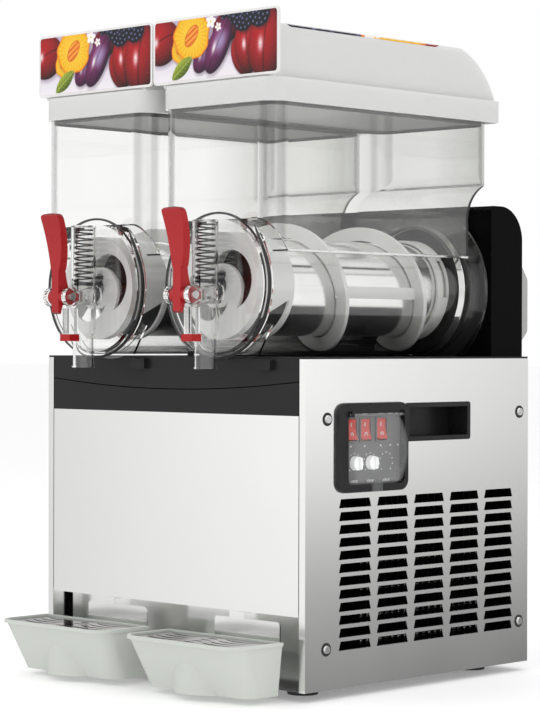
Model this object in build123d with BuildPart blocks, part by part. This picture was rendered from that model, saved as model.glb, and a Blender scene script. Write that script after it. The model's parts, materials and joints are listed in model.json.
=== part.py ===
from build123d import *
import math
import os

# Twin-bowl frozen drink machine. Millimetres. +Z is up, the taps face -Y and the controls are on the
# +X side. Parts are drawn about the centre of the cabinet's footprint, with the floor at floor_z, and
# saved on the floor about the centre of the whole machine's footprint, which the taps, the trays and the
# control cover widen.
machine_centre = (5.286, -29.75)
floor_z = 8.0

# ---- Cabinet ----
half_width = 200.0
half_depth = 181.6
cabinet_base = 18.0
cabinet_top = 357.6
sheet = 1.5
flange_width = 8.5
panel_gap = 1.0
front_panel_low = 94.6
front_panel_high = 299.5
recess_depth = 28.6
deck_top = 359.6
deck_thickness = 7.6
trim_depth = 5.5
trim_line_end = 335.0
trim_line_mid = 325.0
foot_spots = [(-150, -132), (150, -132), (-150, 142), (150, 142)]
foot_radius = 18.0
screw_spots = [(-149, 296), (166, 298), (-150, 60), (166, 64)]
screw_head = 5.0
screw_shank = 1.9

# ---- Side vents ----
vent_columns = 5
vent_rows = 12
vent_pitch_y = 58.8
vent_pitch_z = 13.36
vent_centre = (11.35, 135.1)
vent_base = 49.5
vent_height = 9.3
vent_angle = 73.5
vent_lip = 5.0

# ---- Controls on the +X side ----
bezel_centre = (-81.25, 265.75)
bezel_size = (109.5, 93.5)
bezel_proud = 4.0
window_centre = (-77.0, 264.0)
window_size = (88.0, 74.0)
bezel_hole_size = (93.0, 83.0)
plate_face = half_width - 3.5
rocker_spots = [-109.5, -88.0, -63.0]
rocker_z = 284.0
rocker_size = (14.6, 21.6)
rocker_tilt = 8.0
rocker_axle = 0.9
knob_spots = [-104.0, -79.5]
knob_z = 249.3
knob_radius = 7.5
cover_centre = -79.4
cover_low = 229.5
cover_high = 298.6
cover_widths = (34.0, 41.0, 35.0)
cover_bow = 13.0
hinge_x = half_width + 6.0
hinge_z = 299.6
handle_centre = (25.0, 290.5)
handle_size = (96.0, 31.0)
handle_depth = 28.0

# ---- Bowls, one on each side of the middle ----
bowl_centre = 95.0
axis_z = 433.5
bowl_wall = 2.5
bowl_half_width = 84.0
bowl_front = -208.0
bowl_rear = 143.0
bowl_top = 642.0
bowl_waist = 101.0
ledge_z = 468.0
corner_radius = 22.0
barrel_radius = 72.0
bell_radius = 76.0
bell_flange_radius = 92.0
bell_rear = 125.5
nose_ring_radius = 75.0
nose_ring_depth = 10.0
foot_plane = 361.5

# ---- Lids ----
lid_half_width = 87.0
lid_front = -211.0
lid_rear = 155.0
lid_low = 620.6
lid_step = 644.6
lid_inset = 6.0
lid_crown = 703.5
lid_edge = 699.0
lid_wall = 2.5
sign_centre = 93.75
sign_half_width = 92.75
sign_low = 646.7
sign_high = 715.2
sign_depth = 2.5

# ---- Drums, augers and their drive ----
drum_radius = 52.0
drum_front = -150.0
housing_front = 128.0
shaft_radius = 6.0
shaft_clearance = 0.06
auger_front = -200.0
auger_bore = 53.0
auger_band = 56.0
auger_radius = 68.0
flight_pitch = 125.6
flight_thickness = 5.0
flight_at_right = 43.4
flight_start = -148.0
flight_bore = 53.4
rib_width = 13.0
flight_end = 86.0

# ---- Rear housing ----
housing_half_width = 190.0
housing_rear = 183.0
housing_top = 527.0
housing_wall = 3.0
cover_rear = 212.0
cover_half_width = 175.0

# ---- Taps ----
tap_y = -222.0
tube_radius = 13.6
tube_bore = 11.6
tube_low = 378.0
tube_high = 501.0
spout_radius = 11.4
spout_bore = 9.5
spout_low = 347.0
neck_z = 426.0
neck_radius = 12.0
neck_bore = 8.0
piston_low = 414.4
piston_high = 435.0
piston_radius = 11.5
pivot_y = -254.0
pivot_z = 423.0
pin_radius = 3.0
ear_radius = 10.0
lever_reach = 21.5
arm_height = 8.0
spring_radius = 8.3
spring_wire = 0.9
spring_turns = 13.5
column_y = -240.6
column_side = 11.7

# ---- Drip trays ----
tray_centre = 100.0
tray_half_width = 83.0
tray_front = -267.0
tray_rear = -197.0
tray_rim = 70.0
tray_floor = 15.0
tray_slope_side = 6.0
tray_slope_front = 27.0
tray_wall = 2.2

# ---- Machinery ----
motor_radius = 40.0
motor_depth = 28.0
compressor_x = -90.0
compressor_radius = 70.0
compressor_low = 30.0
compressor_height = 165.0
condenser_x = 168.0
condenser_size = (30.0, 190.0, 180.0)
condenser_fins = 19
fin_pitch = 10.0
fin_thickness = 1.0
condenser_tube_pitch = 28.0
shroud_x = 152.0
fan_y = 20.0
fan_z = 130.0
fan_radius = 76.0
fan_opening = 82.0
fan_shaft_radius = 4.0
pipe_radius = 4.0
cord_radius = 3.6
plug_height = 20.0
cord_y = 203.0
cord_inlet = (-140.0, 70.0)

standing = (Align.CENTER, Align.CENTER, Align.MIN)
os.makedirs("parts", exist_ok=True)


def save(piece, name):
    """Move a finished piece onto the floor of the machine's frame, label it and write it as its own file."""
    moved = piece.part.moved(Location((-machine_centre[0], -machine_centre[1], -floor_z)))
    moved.label = name
    export_step(moved, f"parts/{name}.step")


def front_plane(y):
    """Plane across the machine at depth y: its sketch reads as (X, Z), and it faces the front."""
    return Plane.XZ.offset(-y)


def side_plane(x):
    """Plane along the machine at width x: its sketch reads as (Y, Z), and it faces +X."""
    return Plane.YZ.offset(x)


# ================================ Cabinet ================================

with BuildPart() as base_pan:
    with BuildSketch(Plane.XY.offset(cabinet_base)):
        Rectangle(2 * (half_width - sheet) - 0.4, 2 * (half_depth - sheet) - 0.4)
    extrude(amount=sheet)
    with BuildSketch(Plane.XY.offset(cabinet_base + sheet)):
        with Locations((0, 15)):
            rim_width = 2 * (half_width - sheet) - 0.4
            rim_depth = 2 * (half_depth - sheet) - 30.4
            Rectangle(rim_width, rim_depth)
            Rectangle(rim_width - 2 * sheet, rim_depth - 2 * sheet, mode=Mode.SUBTRACT)
    extrude(amount=12)
    with BuildSketch(Plane.XY.offset(cabinet_base)):
        with Locations(*foot_spots):
            Circle(4.2)
    extrude(amount=sheet, mode=Mode.SUBTRACT)
save(base_pan, "base_pan")

with BuildPart() as feet:
    with Locations(*[(x, y, floor_z) for x, y in foot_spots]):
        Cone(foot_radius - 2, foot_radius, cabinet_base - floor_z, align=standing)
    with Locations(*[(x, y, cabinet_base) for x, y in foot_spots]):
        Cylinder(4, 6, align=standing)
save(feet, "feet")


def make_side_panel(name, side):
    """Folded side sheet with vent louvres; the +X one also has the control opening."""
    skin = side * (half_width - sheet / 2)
    with BuildPart() as panel:
        with BuildSketch(Plane.XY.offset(cabinet_base)):
            with Locations((skin, 0)):
                Rectangle(sheet, 2 * half_depth)
            with Locations(
                (side * (half_width - flange_width / 2), half_depth - sheet / 2),
                (side * (half_width - flange_width / 2), sheet / 2 - half_depth),
            ):
                Rectangle(flange_width, sheet)
        extrude(amount=cabinet_top - cabinet_base)
        with BuildSketch(Plane.XY.offset(cabinet_top - sheet)):
            with Locations((side * (half_width - 7), 0)):
                Rectangle(14, 2 * half_depth - 24)
        extrude(amount=sheet)
        with BuildSketch(side_plane(skin)):
            with Locations(vent_centre):
                with GridLocations(vent_pitch_y, vent_pitch_z, vent_columns, vent_rows):
                    Trapezoid(vent_base, vent_height, vent_angle)
            with Locations(handle_centre):
                Rectangle(handle_size[0] + 4, handle_size[1] + 4)
            with Locations(*screw_spots):
                Circle(screw_shank + 0.1)
            if side > 0:
                with Locations(window_centre):
                    Rectangle(*bezel_hole_size)
        extrude(amount=sheet, both=True, mode=Mode.SUBTRACT)
        with BuildSketch(side_plane(side * (half_width - sheet))):
            with Locations((vent_centre[0], vent_centre[1] - vent_height / 2 - 0.5)):
                with GridLocations(vent_pitch_y, vent_pitch_z, vent_columns, vent_rows):
                    Rectangle(vent_base - 1, 1)
        extrude(amount=-side * vent_lip)
    save(panel, name)


make_side_panel("side_panel_right", 1)
make_side_panel("side_panel_left", -1)

front_half = half_width - flange_width - panel_gap

with BuildPart() as front_panel:
    with BuildSketch(side_plane(-front_half)):
        with BuildLine():
            Polyline(
                (-half_depth, front_panel_low),
                (-half_depth, front_panel_high),
                (-half_depth + 12, front_panel_high),
                (-half_depth + 12, front_panel_high - sheet),
                (-half_depth + sheet, front_panel_high - sheet),
                (-half_depth + sheet, front_panel_low + sheet),
                (-half_depth + recess_depth, front_panel_low + sheet),
                (-half_depth + recess_depth, front_panel_low),
                close=True,
            )
        make_face()
    extrude(amount=2 * front_half)
save(front_panel, "front_panel")

with BuildPart() as lower_front_panel:
    with BuildSketch(front_plane(-half_depth + recess_depth + sheet)):
        with Locations((0, (front_panel_low + cabinet_base + sheet) / 2)):
            Rectangle(2 * front_half, front_panel_low - cabinet_base - sheet)
    extrude(amount=sheet)
save(lower_front_panel, "lower_front_panel")


def trim_line(drop):
    """The sagging line across the front where the deck's lip meets the trim, lowered by drop."""
    ThreePointArc(
        (front_half, trim_line_end - drop),
        (0, trim_line_mid - drop),
        (-front_half, trim_line_end - drop),
    )


with BuildPart() as front_trim:
    with BuildSketch(front_plane(-half_depth + trim_depth)):
        with BuildLine():
            trim_line(1.0)
            Polyline(
                (-front_half, trim_line_end - 1.0),
                (-front_half, front_panel_high + 0.1),
                (front_half, front_panel_high + 0.1),
                (front_half, trim_line_end - 1.0),
            )
        make_face()
    extrude(amount=trim_depth)
save(front_trim, "front_trim")

with BuildPart() as top_deck:
    with BuildSketch(Plane.XY.offset(cabinet_top)):
        Rectangle(2 * half_width - 1, 2 * half_depth - 0.4)
    extrude(amount=deck_top - cabinet_top)
    with BuildSketch(Plane.XY.offset(deck_top - deck_thickness)):
        Rectangle(2 * (half_width - 15), 2 * half_depth - 2 * sheet - 1)
    extrude(amount=deck_thickness)
    with BuildSketch(front_plane(-half_depth + trim_depth)):
        with BuildLine():
            trim_line(0)
            Polyline(
                (-front_half, trim_line_end),
                (-front_half, deck_top),
                (front_half, deck_top),
                (front_half, trim_line_end),
            )
        make_face()
    extrude(amount=trim_depth)
    with BuildSketch(Plane.XY.offset(deck_top)):
        with Locations((0, -20)):
            RectangleRounded(20, 260, 6)
    extrude(amount=5.4)
    # Shallow channels that the bowls' rear bells slide along
    with BuildSketch(front_plane(half_depth)):
        with Locations((-bowl_centre, axis_z), (bowl_centre, axis_z)):
            Circle(bell_radius + 1)
    extrude(amount=2 * half_depth, mode=Mode.SUBTRACT)
    # Catch under the +X side of each bowl's nose
    with BuildSketch(front_plane(-half_depth)):
        with Locations((46.5 - bowl_centre, 351.5), (46.5 + bowl_centre, 351.5)):
            RectangleRounded(27, 11, 2)
    extrude(amount=6)
    # Refrigerant pipes rise through here into the rear housing
    with BuildSketch(Plane.XY.offset(deck_top)):
        with Locations((-130, 150), (-60, 150), (60, 150), (130, 150)):
            Circle(5)
    extrude(amount=-deck_thickness, mode=Mode.SUBTRACT)
save(top_deck, "top_deck")

with BuildPart() as back_panel:
    with BuildSketch(front_plane(half_depth)):
        with Locations((0, (cabinet_top + cabinet_base) / 2)):
            Rectangle(2 * (half_width - flange_width - panel_gap), cabinet_top - cabinet_base - 4)
        with Locations((60, 170)):
            with GridLocations(74, 14, 3, 12):
                SlotOverall(62, 6, mode=Mode.SUBTRACT)
        with Locations((-140, 70)):
            Circle(8.2, mode=Mode.SUBTRACT)
    extrude(amount=sheet)
save(back_panel, "back_panel")

with BuildPart() as panel_screws:
    for side in (-1, 1):
        with BuildSketch(side_plane(side * half_width)):
            with Locations(*screw_spots):
                Circle(screw_head)
        extrude(amount=side * 2.4, taper=25)
        with BuildSketch(side_plane(side * half_width)):
            with Locations(*screw_spots):
                Circle(screw_shank)
        extrude(amount=-side * 9)
save(panel_screws, "panel_screws")

# ================================ Controls ================================

with BuildPart() as control_bezel:
    with BuildSketch(side_plane(half_width)):
        with Locations(bezel_centre):
            RectangleRounded(*bezel_size, 12)
    extrude(amount=bezel_proud, taper=8)
    with BuildSketch(side_plane(half_width)):
        with Locations(window_centre):
            Rectangle(bezel_hole_size[0] - 0.6, bezel_hole_size[1] - 0.6)
    extrude(amount=plate_face - half_width)
    with BuildSketch(side_plane(plate_face)):
        with Locations(window_centre):
            RectangleRounded(*window_size, 6)
    extrude(amount=20, mode=Mode.SUBTRACT)
    # Two lugs hold the cover's hinge rod
    with BuildSketch(side_plane(half_width + bezel_proud)):
        with Locations((window_centre[0] - 41, hinge_z + 1), (window_centre[0] + 41, hinge_z + 1)):
            Rectangle(4, 6)
    extrude(amount=4)
    with BuildSketch(Plane.XZ):
        with Locations((hinge_x, hinge_z)):
            Circle(1.25)
    extrude(amount=200, mode=Mode.SUBTRACT)
save(control_bezel, "control_bezel")

with BuildPart() as control_plate:
    with BuildSketch(side_plane(plate_face)):
        with Locations(window_centre):
            Rectangle(bezel_hole_size[0] + 4, bezel_hole_size[1] + 4)
    extrude(amount=-sheet)
    # A raised frame around each rocker
    with BuildSketch(side_plane(plate_face)):
        for y in rocker_spots:
            with Locations((y, rocker_z)):
                Rectangle(rocker_size[0] + 3.4, rocker_size[1] + 4)
    extrude(amount=2)
    with BuildSketch(side_plane(plate_face)):
        for y in rocker_spots:
            with Locations((y, rocker_z)):
                Rectangle(rocker_size[0] + 0.6, rocker_size[1] + 1.6)
        for y in knob_spots:
            with Locations((y, knob_z)):
                Circle(2.56)
    extrude(amount=10, both=True, mode=Mode.SUBTRACT)
save(control_plate, "control_plate")


def make_rocker(name, y):
    """Rocker button, shown pressed at its top edge."""
    lean = math.radians(rocker_tilt)
    start = y - rocker_size[0] / 2
    plane = Plane(
        origin=(plate_face - 1.5, start, rocker_z),
        x_dir=(-math.sin(lean), 0, math.cos(lean)),
        z_dir=(0, 1, 0),
    )
    half_height = rocker_size[1] / 2
    with BuildPart() as rocker:
        with BuildSketch(plane):
            with BuildLine():
                Polyline((-7, -3), (7, -3), (half_height, 3.6))
                ThreePointArc((half_height, 3.6), (0, 1.8), (-half_height, 3.6))
                Line((-half_height, 3.6), (-7, -3))
            make_face()
        extrude(amount=rocker_size[0])
        # Axle bore it rocks on
        with BuildSketch(plane):
            Circle(rocker_axle)
        extrude(amount=rocker_size[0], mode=Mode.SUBTRACT)
    save(rocker, name)


make_rocker("power_switch", rocker_spots[0])
make_rocker("left_switch", rocker_spots[1])
make_rocker("right_switch", rocker_spots[2])


def make_knob(name, y):
    """Round setting knob with a raised grip bar and its shaft."""
    with BuildPart() as knob:
        with BuildSketch(side_plane(plate_face + 0.3)):
            with Locations((y, knob_z)):
                Circle(knob_radius)
        extrude(amount=6, taper=4)
        with BuildSketch(side_plane(plate_face + 6.3)):
            with Locations((y, knob_z)):
                RectangleRounded(3.6, 12.4, 1.5)
        extrude(amount=4)
        with BuildSketch(side_plane(plate_face + 0.3)):
            with Locations((y, knob_z)):
                Circle(2.5)
        extrude(amount=-10)
    save(knob, name)


make_knob("left_knob", knob_spots[0])
make_knob("right_knob", knob_spots[1])


def cover_form(inset):
    """Outer form of the splash cover, bellied at its sides and bowed outwards, shrunk by inset."""
    low, high = cover_low + inset, cover_high - inset
    top, waist, foot = [half - inset for half in cover_widths]
    y = cover_centre
    side_x = half_width + 1
    face = hinge_x + 1 - inset
    with BuildPart() as form:
        with BuildSketch(side_plane(side_x)):
            with BuildLine():
                Line((y - top, high), (y + top, high))
                ThreePointArc((y + top, high), (y + waist, 256), (y + foot, low))
                Line((y + foot, low), (y - foot, low))
                ThreePointArc((y - foot, low), (y - waist, 256), (y - top, high))
            make_face()
        extrude(amount=14)
        with BuildSketch(front_plane(0)):
            with BuildLine():
                Line((side_x - inset, 220), (side_x - inset, 305))
                Line((side_x - inset, 305), (face, 305))
                Line((face, 305), (face, high))
                ThreePointArc((face, high), (half_width + cover_bow - inset, 262), (face + 1, low))
                Line((face + 1, low), (face + 1, 220))
                Line((face + 1, 220), (side_x - inset, 220))
            make_face()
        extrude(amount=200, mode=Mode.INTERSECT)
    return form.part


cover_cavity = cover_form(1.5)
with BuildPart() as control_cover:
    add(cover_form(0))
    add(cover_cavity, mode=Mode.SUBTRACT)
    with BuildSketch(Plane.XZ.offset(-(window_centre[0] - 43.5))):
        with Locations((hinge_x, hinge_z)):
            Circle(1.2)
    extrude(amount=-87)
    with BuildSketch(side_plane(half_width + bezel_proud + 0.3)):
        with Locations((cover_centre + 1.5, 225)):
            RectangleRounded(15, 12, 2)
    extrude(amount=1.8)
save(control_cover, "control_cover")

with BuildPart() as handle_cups:
    for side in (-1, 1):
        with BuildSketch(side_plane(side * half_width)):
            with Locations((handle_centre[0] + 0.8, handle_centre[1])):
                RectangleRounded(handle_size[0] + 8.4, handle_size[1] + 10, 3)
        extrude(amount=side * 2)
        with BuildSketch(side_plane(side * half_width)):
            with Locations(handle_centre):
                Rectangle(handle_size[0] + 3, handle_size[1] + 3)
        extrude(amount=-side * handle_depth)
        with BuildSketch(side_plane(side * (half_width + 2))):
            with Locations(handle_centre):
                Rectangle(*handle_size)
        extrude(amount=-side * (handle_depth + 0.5), mode=Mode.SUBTRACT)
save(handle_cups, "handle_cups")

# ================================ Drip trays ================================


def tray_section(x, height, inset):
    """Rounded outline of a tray at a height, drawn inwards by inset."""
    rise = (height - tray_floor) / (tray_rim - tray_floor)
    half = tray_half_width - tray_slope_side * (1 - rise) - inset
    front = tray_front + tray_slope_front * (1 - rise) + inset
    rear = tray_rear - inset
    with BuildSketch(Plane.XY.offset(height)) as section:
        with BuildLine():
            FilletPolyline(
                (x + half, rear), (x + half, front), (x - half, front), (x - half, rear),
                radius=18 - inset,
            )
            Line((x - half, rear), (x + half, rear))
        make_face()
    return section.sketch


def make_tray(side, x):
    """Sloping drip tray with a rolled rim, a bellied front and a lug that sits on its hanger."""
    with BuildPart() as hollow:
        add(tray_section(x, tray_floor + tray_wall, tray_wall))
        add(tray_section(x, tray_rim + 0.01, tray_wall))
        loft()
    with BuildPart() as tray:
        add(tray_section(x, tray_floor, 0))
        add(tray_section(x, tray_rim, 0))
        loft()
        with BuildSketch(Plane.XY.offset(tray_rim - 3.5)):
            with BuildLine():
                FilletPolyline(
                    (x + tray_half_width + 1.6, tray_rear),
                    (x + tray_half_width + 1.6, tray_front - 1.6),
                    (x - tray_half_width - 1.6, tray_front - 1.6),
                    (x - tray_half_width - 1.6, tray_rear),
                    radius=19.6,
                )
                Line((x - tray_half_width - 1.6, tray_rear), (x + tray_half_width + 1.6, tray_rear))
            make_face()
        extrude(amount=3.5)
        with BuildSketch(Plane.XY.offset(tray_floor)):
            with Locations((x, -214)):
                Circle(42)
            with Locations((x, -150)):
                Rectangle(100, 2 * (-150 - tray_rear), mode=Mode.SUBTRACT)
        extrude(amount=40)
        add(hollow.part, mode=Mode.SUBTRACT)
        with BuildSketch(Plane.XY.offset(tray_floor + tray_wall)):
            with Locations((x, -214)):
                Circle(42 - tray_wall)
            with Locations((x, -150)):
                Rectangle(100, 2 * (-150 - tray_rear) + 2 * tray_wall, mode=Mode.SUBTRACT)
        extrude(amount=40 - tray_wall, mode=Mode.SUBTRACT)
        # Lug that rests on the hanger's shelf, and the ledge that carries the grid
        with BuildSketch(Plane.XY.offset(56)):
            with Locations((x, tray_rear + 4.4)):
                Rectangle(70, 9)
        extrude(amount=4)
        with BuildSketch(Plane.XY.offset(tray_rim - 5)):
            with Locations((x - tray_half_width + 4.5, -225), (x + tray_half_width - 4.5, -225)):
                Rectangle(7, 40)
        extrude(amount=1.6)
    save(tray, f"drip_tray_{side}")


def make_grid(side, x):
    """Drip grid: a flat plate with a folded edge and rows of curved slots."""
    low = tray_rim - 3.2
    with BuildPart() as grid:
        with BuildSketch(Plane.XY.offset(low)):
            with BuildLine():
                FilletPolyline(
                    (x + 79.5, -200), (x + 79.5, -263.2), (x - 79.5, -263.2), (x - 79.5, -200),
                    radius=14.5,
                )
                Line((x - 79.5, -200), (x + 79.5, -200))
            make_face()
            for row in range(5):
                y = -208 - 11.5 * row
                for column in (-1, 1):
                    with BuildLine():
                        bow = 5.5
                        left = x + column * 40 - 28
                        right = x + column * 40 + 28
                        ThreePointArc((left, y), (x + column * 40, y - bow), (right, y))
                        ThreePointArc((right, y), (x + column * 40, y - bow - 4), (left, y))
                    make_face(mode=Mode.SUBTRACT)
            with Locations(*[(x, -214 - 11.5 * row) for row in range(4)]):
                SlotOverall(14, 3.4, mode=Mode.SUBTRACT)
        extrude(amount=1.2)
    save(grid, f"drip_grid_{side}")


with BuildPart() as tray_hangers:
    for x in (-tray_centre, tray_centre):
        with BuildSketch(front_plane(-183.5)):
            with Locations((x + 20, 68)):
                RectangleRounded(95, 40, 4)
            with Locations((x + 5, 85)):
                Rectangle(21, 19)
        extrude(amount=sheet)
        with BuildSketch(Plane.XY.offset(front_panel_low - 1.6)):
            with Locations((x + 5, -172.5)):
                Rectangle(21, 25)
        extrude(amount=sheet)
        with BuildSketch(Plane.XY.offset(54.4)):
            with Locations((x + 10, -190)):
                Rectangle(60, 11.6)
        extrude(amount=sheet)
save(tray_hangers, "tray_hangers")

# ================================ Rear housing ================================


def housing_outline(inset):
    """Side outline of the rear housing with its large top rear radius, drawn inwards by inset."""
    front = housing_front + inset
    rear = housing_rear - inset
    top = housing_top - inset
    radius = 38 - inset
    Polyline((front, deck_top), (front, top - 4), (front + 4, top), (rear - radius, top))
    RadiusArc((rear - radius, top), (rear, top - radius), radius)
    Polyline((rear, top - radius), (rear, deck_top), (front, deck_top))


with BuildPart() as rear_housing:
    with BuildSketch(side_plane(-housing_half_width)):
        with BuildLine():
            housing_outline(0)
        make_face()
    extrude(amount=2 * housing_half_width)
    fillet(rear_housing.edges().group_by(Axis.Z)[-1].sort_by(Axis.X)[0], 3)
    with BuildSketch(side_plane(-housing_half_width + housing_wall)):
        with BuildLine():
            housing_outline(housing_wall)
        make_face()
    extrude(amount=2 * (housing_half_width - housing_wall), mode=Mode.SUBTRACT)
    # Opening behind the gear motors
    with BuildSketch(front_plane(housing_rear + 1)):
        with Locations((0, 424)):
            RectangleRounded(330, 92, 12)
    extrude(amount=housing_wall + 3, mode=Mode.SUBTRACT)
    # Shaft and pipe passages to the drums
    with BuildSketch(front_plane(housing_front + housing_wall + 1)):
        with Locations((-bowl_centre, axis_z), (bowl_centre, axis_z)):
            Circle(14)
            with PolarLocations(35, 2):
                Circle(5)
    extrude(amount=housing_wall + 2, mode=Mode.SUBTRACT)
save(rear_housing, "rear_housing")


def cover_outline(inset):
    """Side outline of the bulged rear cover."""
    Polyline(
        (housing_rear + 0.1, 487 - inset * 1.4),
        (cover_rear - inset, 447 - inset * 0.6),
        (cover_rear - inset, 388 + inset * 0.6),
        (housing_rear + 0.1, 359 + inset * 1.4),
        close=True,
    )


with BuildPart() as rear_cover:
    with BuildSketch(side_plane(-cover_half_width)):
        with BuildLine():
            cover_outline(0)
        make_face()
    extrude(amount=2 * cover_half_width)
    fillet(rear_cover.edges().filter_by(Axis.X).group_by(Axis.Y)[-1], 8)
    with BuildSketch(side_plane(-cover_half_width + sheet)):
        with BuildLine():
            cover_outline(sheet)
        make_face()
    extrude(amount=2 * (cover_half_width - sheet), mode=Mode.SUBTRACT)
    with BuildSketch(front_plane(cover_rear + 1)):
        with Locations((0, 417)):
            with GridLocations(60, 9, 5, 5):
                SlotOverall(46, 4)
    extrude(amount=12, mode=Mode.SUBTRACT)
save(rear_cover, "rear_cover")

# ================================ Bowls and lids ================================


def hopper_form(x, inset, top):
    """Hopper body: the side outline crossed with the rounded plan outline, both drawn in by inset."""
    chamfer = 32.0
    with BuildPart() as form:
        with BuildSketch(side_plane(x - bowl_half_width + inset)):
            with BuildLine():
                front = bowl_front + inset
                rear = bowl_rear - inset
                waist = bowl_waist - inset
                low = ledge_z + inset
                Polyline(
                    (rear, 562),
                    (rear, top),
                    (front, top),
                    (front, low + chamfer - inset * 0.4),
                    (front + chamfer * 0.7 - inset * 0.4, low),
                    (waist, low),
                    (waist, 505),
                )
                ThreePointArc((waist, 505), (waist + 9.5, 535.5), (rear - 12, 549.5))
                ThreePointArc((rear - 12, 549.5), (rear - 3.5, 554.5), (rear, 562))
            make_face()
        extrude(amount=2 * (bowl_half_width - inset))
        with BuildSketch(Plane.XY.offset(ledge_z - 5)):
            with Locations((x, (bowl_front + bowl_rear) / 2)):
                RectangleRounded(
                    2 * (bowl_half_width - inset),
                    bowl_rear - bowl_front - 2 * inset,
                    corner_radius - inset,
                )
        extrude(amount=top - ledge_z + 10, mode=Mode.INTERSECT)
    return form.part


def make_bowl(side, x):
    """Clear bowl: hopper, barrel around the auger, front nose ring and rear bell with its flange."""
    with BuildPart() as cavity:
        add(hopper_form(x, bowl_wall, bowl_top + 1))
        with BuildSketch(front_plane(bell_rear + 1)):
            with Locations((x, axis_z)):
                Circle(barrel_radius - bowl_wall)
        extrude(amount=bell_rear + 1 - bowl_front - bowl_wall)
        with BuildSketch(front_plane(bell_rear + 1)):
            with Locations((x, axis_z)):
                Circle(bell_radius - bowl_wall)
        extrude(amount=bell_rear + 1 - 107)
    with BuildPart() as bowl:
        add(hopper_form(x, 0, bowl_top))
        with BuildSketch(front_plane(bell_rear - 1)):
            with Locations((x, axis_z)):
                Circle(barrel_radius)
        extrude(amount=bell_rear - 1 - bowl_front)
        # Nose ring, with straight shoulders up to the hopper's front corners
        with BuildSketch(front_plane(bowl_front + nose_ring_depth)):
            with Locations((x, axis_z)):
                Circle(nose_ring_radius)
            with Locations((x, axis_z + 66), (x - 52, axis_z + 60), (x + 52, axis_z + 60)):
                Circle(5)
            make_hull()
        extrude(amount=nose_ring_depth)
        # Rear bell and flange, flat along the bottom
        with BuildSketch(side_plane(x)):
            with BuildLine():
                Polyline(
                    (100, axis_z),
                    (100, axis_z + barrel_radius),
                    (105, axis_z + bell_radius),
                    (115, axis_z + bell_radius),
                    (121, axis_z + bell_flange_radius),
                    (bell_rear, axis_z + bell_flange_radius),
                    (bell_rear, axis_z),
                    close=True,
                )
            make_face()
        revolve(axis=Axis((x, 0, axis_z), (0, 1, 0)))
        with BuildSketch(Plane.XY.offset(foot_plane - 60)):
            with Locations((x, 122)):
                Rectangle(200, 14)
        extrude(amount=60, mode=Mode.SUBTRACT)
        # Foot web that stands on the deck behind the nose
        with BuildSketch(front_plane(-186)):
            with BuildLine():
                Polyline(
                    (x - 64, axis_z - 40),
                    (x - 44, foot_plane),
                    (x + 44, foot_plane),
                    (x + 64, axis_z - 40),
                    close=True,
                )
            make_face()
        extrude(amount=3)
        add(cavity.part, mode=Mode.SUBTRACT)
        with BuildSketch(front_plane(bowl_front + bowl_wall + 1)):
            with Locations((x, neck_z)):
                Circle(neck_radius + 0.1)
        extrude(amount=bowl_wall + 2, mode=Mode.SUBTRACT)
    save(bowl, f"bowl_{side}")


def lid_rim_sketch(x, inset, height):
    """Plan outline of the lid's skirt, with large front corners."""
    with BuildSketch(Plane.XY.offset(height)) as outline:
        with Locations((x, (lid_front + lid_rear) / 2)):
            Rectangle(2 * (lid_half_width - inset), lid_rear - lid_front - 2 * inset)
        fillet(outline.vertices().group_by(Axis.Y)[0], 25 - inset)
        fillet(outline.vertices().group_by(Axis.Y)[-1], 8 - inset)
    return outline.sketch


def lid_dome_form(x, inset, low):
    """Domed top of the lid: flat along its length, crowned across, rounded down at the rear."""
    half = lid_half_width - lid_inset - inset
    top = lid_crown - inset
    with BuildPart() as form:
        with BuildSketch(side_plane(x - half)):
            with BuildLine():
                Polyline((150.6 - inset, low), (-205.3 + inset, low), (-205.3 + inset, top), (60, top))
                ThreePointArc((60, top), (122 - 0.6 * inset, 682.5 - 0.8 * inset), (150.6 - inset, lid_step))
                Line((150.6 - inset, lid_step), (150.6 - inset, low))
            make_face()
        extrude(amount=2 * half)
        with BuildSketch(front_plane(lid_rear + 5)):
            with BuildLine():
                ThreePointArc(
                    (x - half, lid_edge - inset),
                    (x, lid_crown - inset),
                    (x + half, lid_edge - inset),
                )
                Polyline(
                    (x + half, lid_edge - inset),
                    (x + half, lid_crown + 5),
                    (x - half, lid_crown + 5),
                    (x - half, lid_edge - inset),
                )
            make_face()
        extrude(amount=lid_rear + 5 - lid_front, mode=Mode.SUBTRACT)
    return form.part


def make_lid(side, x):
    """Hollow lid that drops over the hopper's top edge."""
    with BuildPart() as lid:
        add(lid_rim_sketch(x, 0, lid_low))
        extrude(amount=lid_step - lid_low)
        add(lid_dome_form(x, 0, lid_step - 1))
        add(lid_rim_sketch(x, lid_wall, lid_low))
        extrude(amount=lid_step - lid_low - lid_wall, mode=Mode.SUBTRACT)
        add(lid_dome_form(x, lid_wall, lid_low), mode=Mode.SUBTRACT)
    save(lid, f"lid_{side}")


def make_sign(side, x):
    """Upright sign plate on the front of the lid, rounded at its top corners."""
    with BuildPart() as sign:
        with BuildSketch(front_plane(bowl_front + sign_depth)) as plate:
            with Locations((x, (sign_low + sign_high) / 2)):
                Rectangle(2 * sign_half_width, sign_high - sign_low)
            fillet(plate.vertices().group_by(Axis.Z)[-1], 6)
        extrude(amount=sign_depth)
    save(sign, f"lid_sign_{side}")


# ================================ Drums, augers and drive ================================

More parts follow.
